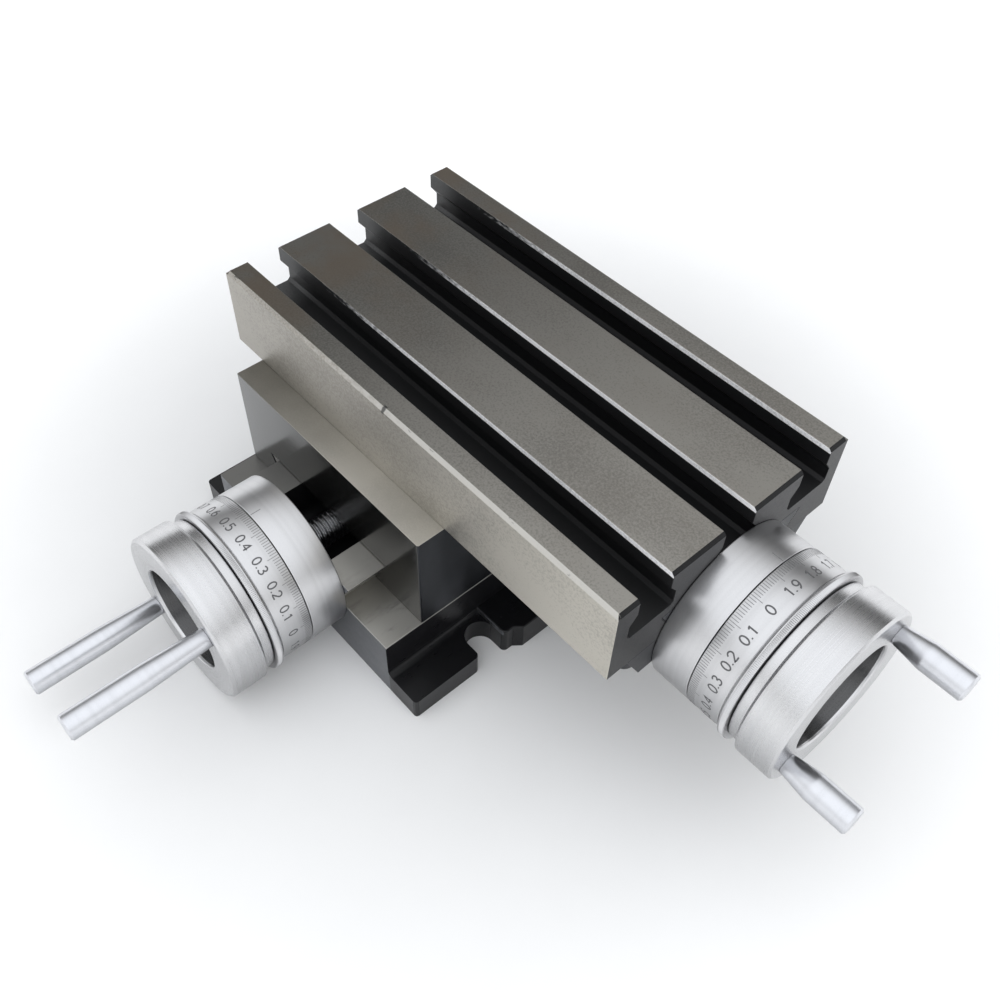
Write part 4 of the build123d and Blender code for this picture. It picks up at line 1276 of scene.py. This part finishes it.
    def make_screw(self, metal: bpy.types.Material) -> None:
        """The leadscrew: its thread, and its turned shank with the thrust collar."""
        thread = threaded(f"{self.prefix}_screw_thread", self.lathe, self.thread_start, -1.0 * MM,
                          self.thread_radius, self.thread_pitch, self.thread_depth, self.thread_hand)
        r, collar, stud = self.journal_radius, 9.0 * MM, 4.0 * MM
        corners = [
            (-1.6 * MM, 0.0, 0.0), (-1.6 * MM, 5.6 * MM, 0.2 * MM), (0.0, r, 0.1 * MM), (0.5 * MM, r, 0.0),
            (0.5 * MM, collar, 0.2 * MM), (4.4 * MM, collar, 0.2 * MM), (4.4 * MM, r, 0.0),
            (35.9 * MM, r, 0.1 * MM), (35.9 * MM, stud, 0.0), (44.8 * MM, stud, 0.2 * MM),
            (45.5 * MM, 3.3 * MM, 0.1 * MM), (45.5 * MM, 0.0, 0.0),
        ]
        shank = self.lathe.turn(f"{self.prefix}_screw_shank", corners, False, 72)
        self.place(thread, self.spindle_body, metal, "screw_steel", f"{self.prefix}_leadscrew")
        self.place(shank, self.spindle_body, metal, "screw_steel", None)

    def make(self, shared: Finishes, witness: float) -> None:
        """Build and dress the whole spindle.

        Args:
            shared: Finishes of the small pieces.
            witness: Angle of the flange's witness line.
        """
        wheel_metal = self.turned((0.61, 0.61, 0.62), 0.28, "wheel_aluminium", recess=True)
        dial_metal = self.turned((0.58, 0.58, 0.59), 0.33, "dial_aluminium", 0.004 * MM)
        screw_metal = self.turned((0.32, 0.32, 0.33), 0.28, "leadscrew_steel")
        self.make_flange(dial_metal)
        self.make_witness(shared.faint_ink, witness)
        self.make_dial(dial_metal, shared)
        self.make_wheel(wheel_metal)
        self.make_handles()
        self.make_screw(screw_metal)
        nut = softened(f"{self.prefix}_wheel_nut", f"{self.prefix}_hex_nut", 0.35 * MM)
        self.place(nut, self.spindle_body, shared.black, "blackened_steel", None)
        for name, material in (("wheel_washer", shared.steel), ("wheel_key", shared.steel),
                               ("thrust_washers", shared.bronze), ("dial_spring", shared.spring),
                               ("flange_screws", shared.black)):
            dress_node(f"{self.prefix}_{name}", material)


@dataclass
class Slides:
    """The castings: base, saddle and table, with the gibs, nuts and bracket that they carry."""

    edge: float = 0.2 * MM
    table_middle: float = -9.0 * MM
    slot_pitch: float = 37.0 * MM
    table_edge: float = 1.25 * MM
    table_end_chamfer: float = 1.2 * MM
    dovetail_ceiling: float = 12.0 * MM
    front_mouth: float = 24.303 * MM
    front_wide: float = 31.231 * MM
    back_mouth: float = 29.210 * MM
    back_wide: float = 36.138 * MM

    def casting(self, node: str, name: str, body: str, material: bpy.types.Material) -> None:
        """A casting with softened edges, on its body."""
        piece = softened(node, name, self.edge)
        dress(piece, material)
        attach(piece, body)
        log.info("%s rides on %s", name, body)

    def table_outline(self, low: Vector, high: Vector) -> list[tuple[float, float, float]]:
        """The table's outline across its travel, anticlockwise from the front bottom corner.

        Args:
            low: The table's lowest corner.
            high: The table's highest corner.

        Returns:
            Across, height and rounding radius of each corner.
        """
        roof = low.z + self.dovetail_ceiling
        middle = self.table_middle
        round_off = 0.3 * MM
        corners = [
            (low.y, low.z, round_off), (middle - self.front_mouth, low.z, round_off),
            (middle - self.front_wide, roof, round_off), (middle + self.back_wide, roof, round_off),
            (middle + self.back_mouth, low.z, round_off), (high.y, low.z, round_off),
            (high.y, high.z - self.table_edge, round_off), (high.y - self.table_edge, high.z, round_off),
        ]
        for centre in (middle + self.slot_pitch, middle, middle - self.slot_pitch):
            right = [
                (7.0 * MM, 0.0, 0.2 * MM), (7.0 * MM, 6.8 * MM, 0.2 * MM), (10.0 * MM, 10.8 * MM, 0.2 * MM),
                (10.0 * MM, 16.0 * MM, 0.2 * MM), (8.8 * MM, 17.2 * MM, 0.2 * MM),
            ]
            corners += [(centre + reach, high.z - depth, radius) for reach, depth, radius in right]
            corners += [(centre - reach, high.z - depth, radius) for reach, depth, radius in right[::-1]]
        corners += [(low.y + self.table_edge, high.z, round_off), (low.y, high.z - self.table_edge, round_off)]
        return corners

    def make_table(self) -> None:
        """The table: one outline along its whole length, with chamfered and rounded ends."""
        low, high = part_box("table_casting")
        bar = Prism(self.table_outline(low, high), low.x, high.x, high.z, self.table_end_chamfer)
        table = bar.make("table")
        dress(table, TableFinish(tuple(low), tuple(high)).make())
        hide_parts("table_casting")
        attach(table, "table")
        log.info("table rides on table")

    def make(self, shared: Finishes) -> None:
        """Build and dress the castings and the pieces on them.

        Args:
            shared: Finishes of the small pieces.
        """
        self.make_table()
        self.casting("saddle_casting", "saddle", "saddle", SaddleFinish().make())
        base_iron = BaseFinish(way_height=28.5 * MM, way_half_width=54.25 * MM).make()
        self.casting("base_casting", "base", "base", base_iron)
        bracket = PlainFinish("bracket_iron", (0.05, 0.052, 0.056), 0.42, 0.85, 900.0).make()
        self.casting("x_end_bracket", "end_bracket", "table", bracket)
        gib = PlainFinish("gib_iron", (0.42, 0.41, 0.40), 0.36, 0.9, 1200.0).make()
        for node in ("x_gib", "y_gib"):
            dress_node(node, gib)
        for node in ("x_gib_screws", "x_gib_locknuts", "y_gib_screws", "y_gib_locknuts", "x_bracket_screws",
                     "x_nut_screws", "y_nut_screws"):
            dress_node(node, shared.black)
        for node in ("x_nut", "y_nut"):
            dress_node(node, shared.bronze)


@dataclass(frozen=True)
class Sky:
    """Soft studio light: a wide bright patch overhead, leaning to the camera, over a dim horizon."""

    centre: Point = (0.25, -0.37, 0.895)
    start: float = 0.0
    full: float = 0.90
    dim: float = 0.08
    bright: float = 1.5
    cool: Colour = (0.955, 0.975, 1.0)
    plain: Colour = (1.0, 0.995, 0.985)

    def make(self) -> None:
        """Light the world by direction: brightness grows with the cosine of the angle from the patch."""
        world = bpy.data.worlds.new("sky")
        world.use_nodes = True
        nodes = Nodes(world.node_tree)
        direction = nodes.node("ShaderNodeTexCoord", output="Generated")
        nearness = nodes.node("ShaderNodeVectorMath", {"operation": "DOT_PRODUCT"},
                              {0: direction, 1: self.centre}, output="Value")
        share = nodes.ramp(nearness, self.start, self.full)
        strength = share * (self.bright - self.dim) + self.dim
        light = nodes.node("ShaderNodeBackground", None,
                           {"Color": nodes.mix(share, self.plain, self.cool), "Strength": strength})
        output = nodes.tree.nodes.new("ShaderNodeOutputWorld")
        nodes.tree.links.new(light.socket, output.inputs["Surface"])
        bpy.context.scene.world = world


@dataclass
class Studio:
    """Pale floor, soft light and the camera at the photograph's angle."""

    image: float = 1000.0
    focal: float = 1067.56
    centre: tuple[float, float] = (487.17, 493.67)
    camera_place: Point = (226.0 * MM, -200.4 * MM, 356.2 * MM)
    azimuth: float = 47.469
    elevation: float = 50.047
    roll: float = 1.440
    sensor: float = 36.0
    pool_start: float = 130 * MM
    pool_end: float = 330 * MM

    def make_camera(self) -> None:
        """Set the camera: it looks back along azimuth and elevation, then is rolled about its own axis."""
        az, el, roll = radians(self.azimuth), radians(self.elevation), radians(self.roll)
        back = Vector((sin(az) * cos(el), -cos(az) * cos(el), sin(el)))
        level = Vector((0, 0, 1)).cross(back).normalized()
        raised = back.cross(level)
        right = level * cos(roll) + raised * sin(roll)
        up = raised * cos(roll) - level * sin(roll)
        data = bpy.data.cameras.new("camera")
        data.sensor_width = self.sensor
        data.lens = self.focal / self.image * self.sensor
        data.shift_x = (self.image / 2 - self.centre[0]) / self.image
        data.shift_y = (self.centre[1] - self.image / 2) / self.image
        camera = bpy.data.objects.new("camera", data)
        bpy.context.scene.collection.objects.link(camera)
        turn = Matrix((right, up, back)).transposed().to_4x4()
        camera.matrix_world = Matrix.Translation(self.camera_place) @ turn
        bpy.context.scene.camera = camera

    def make_floor(self) -> None:
        """A wide pale floor: its height is rise times the square of the distance past its bend."""
        reach, count, bend, rise = 3.0, 41, 1.6, 0.35
        span = np.linspace(-reach, reach, count)
        x, y = np.meshgrid(span, span, indexing="ij")
        far = np.clip(np.hypot(x, y) - bend, 0, None)
        points = np.stack([x, y, rise * far**2], axis=-1).reshape(-1, 3)
        rows = np.arange(count - 1)[:, None] * count + np.arange(count - 1)[None]
        faces = np.stack([rows, rows + count, rows + count + 1, rows + 1], axis=-1).reshape(-1, 4)
        floor = mesh_object("floor", points, faces)
        paint = Paint("floor_paper")
        grain = paint.noise(paint.place(), 40.0, 2.0)
        white = paint.mix(grain, (0.84, 0.84, 0.84), (0.86, 0.86, 0.86))
        x, y, _ = paint.split(paint.place())
        away = (x * x + y * y) ** 0.5
        glow = paint.mix(paint.ramp(away, self.pool_start, self.pool_end), BLACK, (0.34, 0.34, 0.34))
        floor.data.materials.append(paint.finish(white, 0.9, 0.0, glow=glow))

    def make_light(self) -> None:
        """The sky alone lights the scene."""
        Sky().make()
        bpy.context.scene.view_settings.view_transform = "Standard"

    def make(self) -> None:
        """Set up the floor, the light and the camera."""
        self.make_floor()
        self.make_light()
        self.make_camera()


def main() -> None:
    """Build the looks, the light and the camera."""
    logging.basicConfig(level=logging.INFO, format="%(name)s: %(message)s")
    shared = Finishes.make()
    Slides().make(shared)
    x_low, x_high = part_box("x_bearing_flange")
    y_low, y_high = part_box("y_bearing_flange")
    x_lathe = Lathe((x_low.x, (x_low.y + x_high.y) / 2, (x_low.z + x_high.z) / 2), (1, 0, 0), (0, 1, 0))
    y_lathe = Lathe(((y_low.x + y_high.x) / 2, y_high.y, (y_low.z + y_high.z) / 2), (0, -1, 0), (1, 0, 0))
    x_spindle = Spindle("x", "table", x_lathe, 0, Handle.SHORT, handle_angle=radians(32.0),
                        zero_angle=radians(111.2), thread_start=-185 * MM, thread_hand=1,
                        flange_tilt=radians(35.0))
    y_spindle = Spindle("y", "base", y_lathe, 1, Handle.LONG, handle_angle=radians(33.8),
                        zero_angle=radians(3.5), thread_start=-140 * MM, thread_hand=-1,
                        flange_tilt=radians(-35.0))
    x_spindle.make(shared, witness=radians(82.8))
    y_spindle.make(shared, witness=radians(90.0))
    Studio().make()


if __name__ == "__main__":
    main()
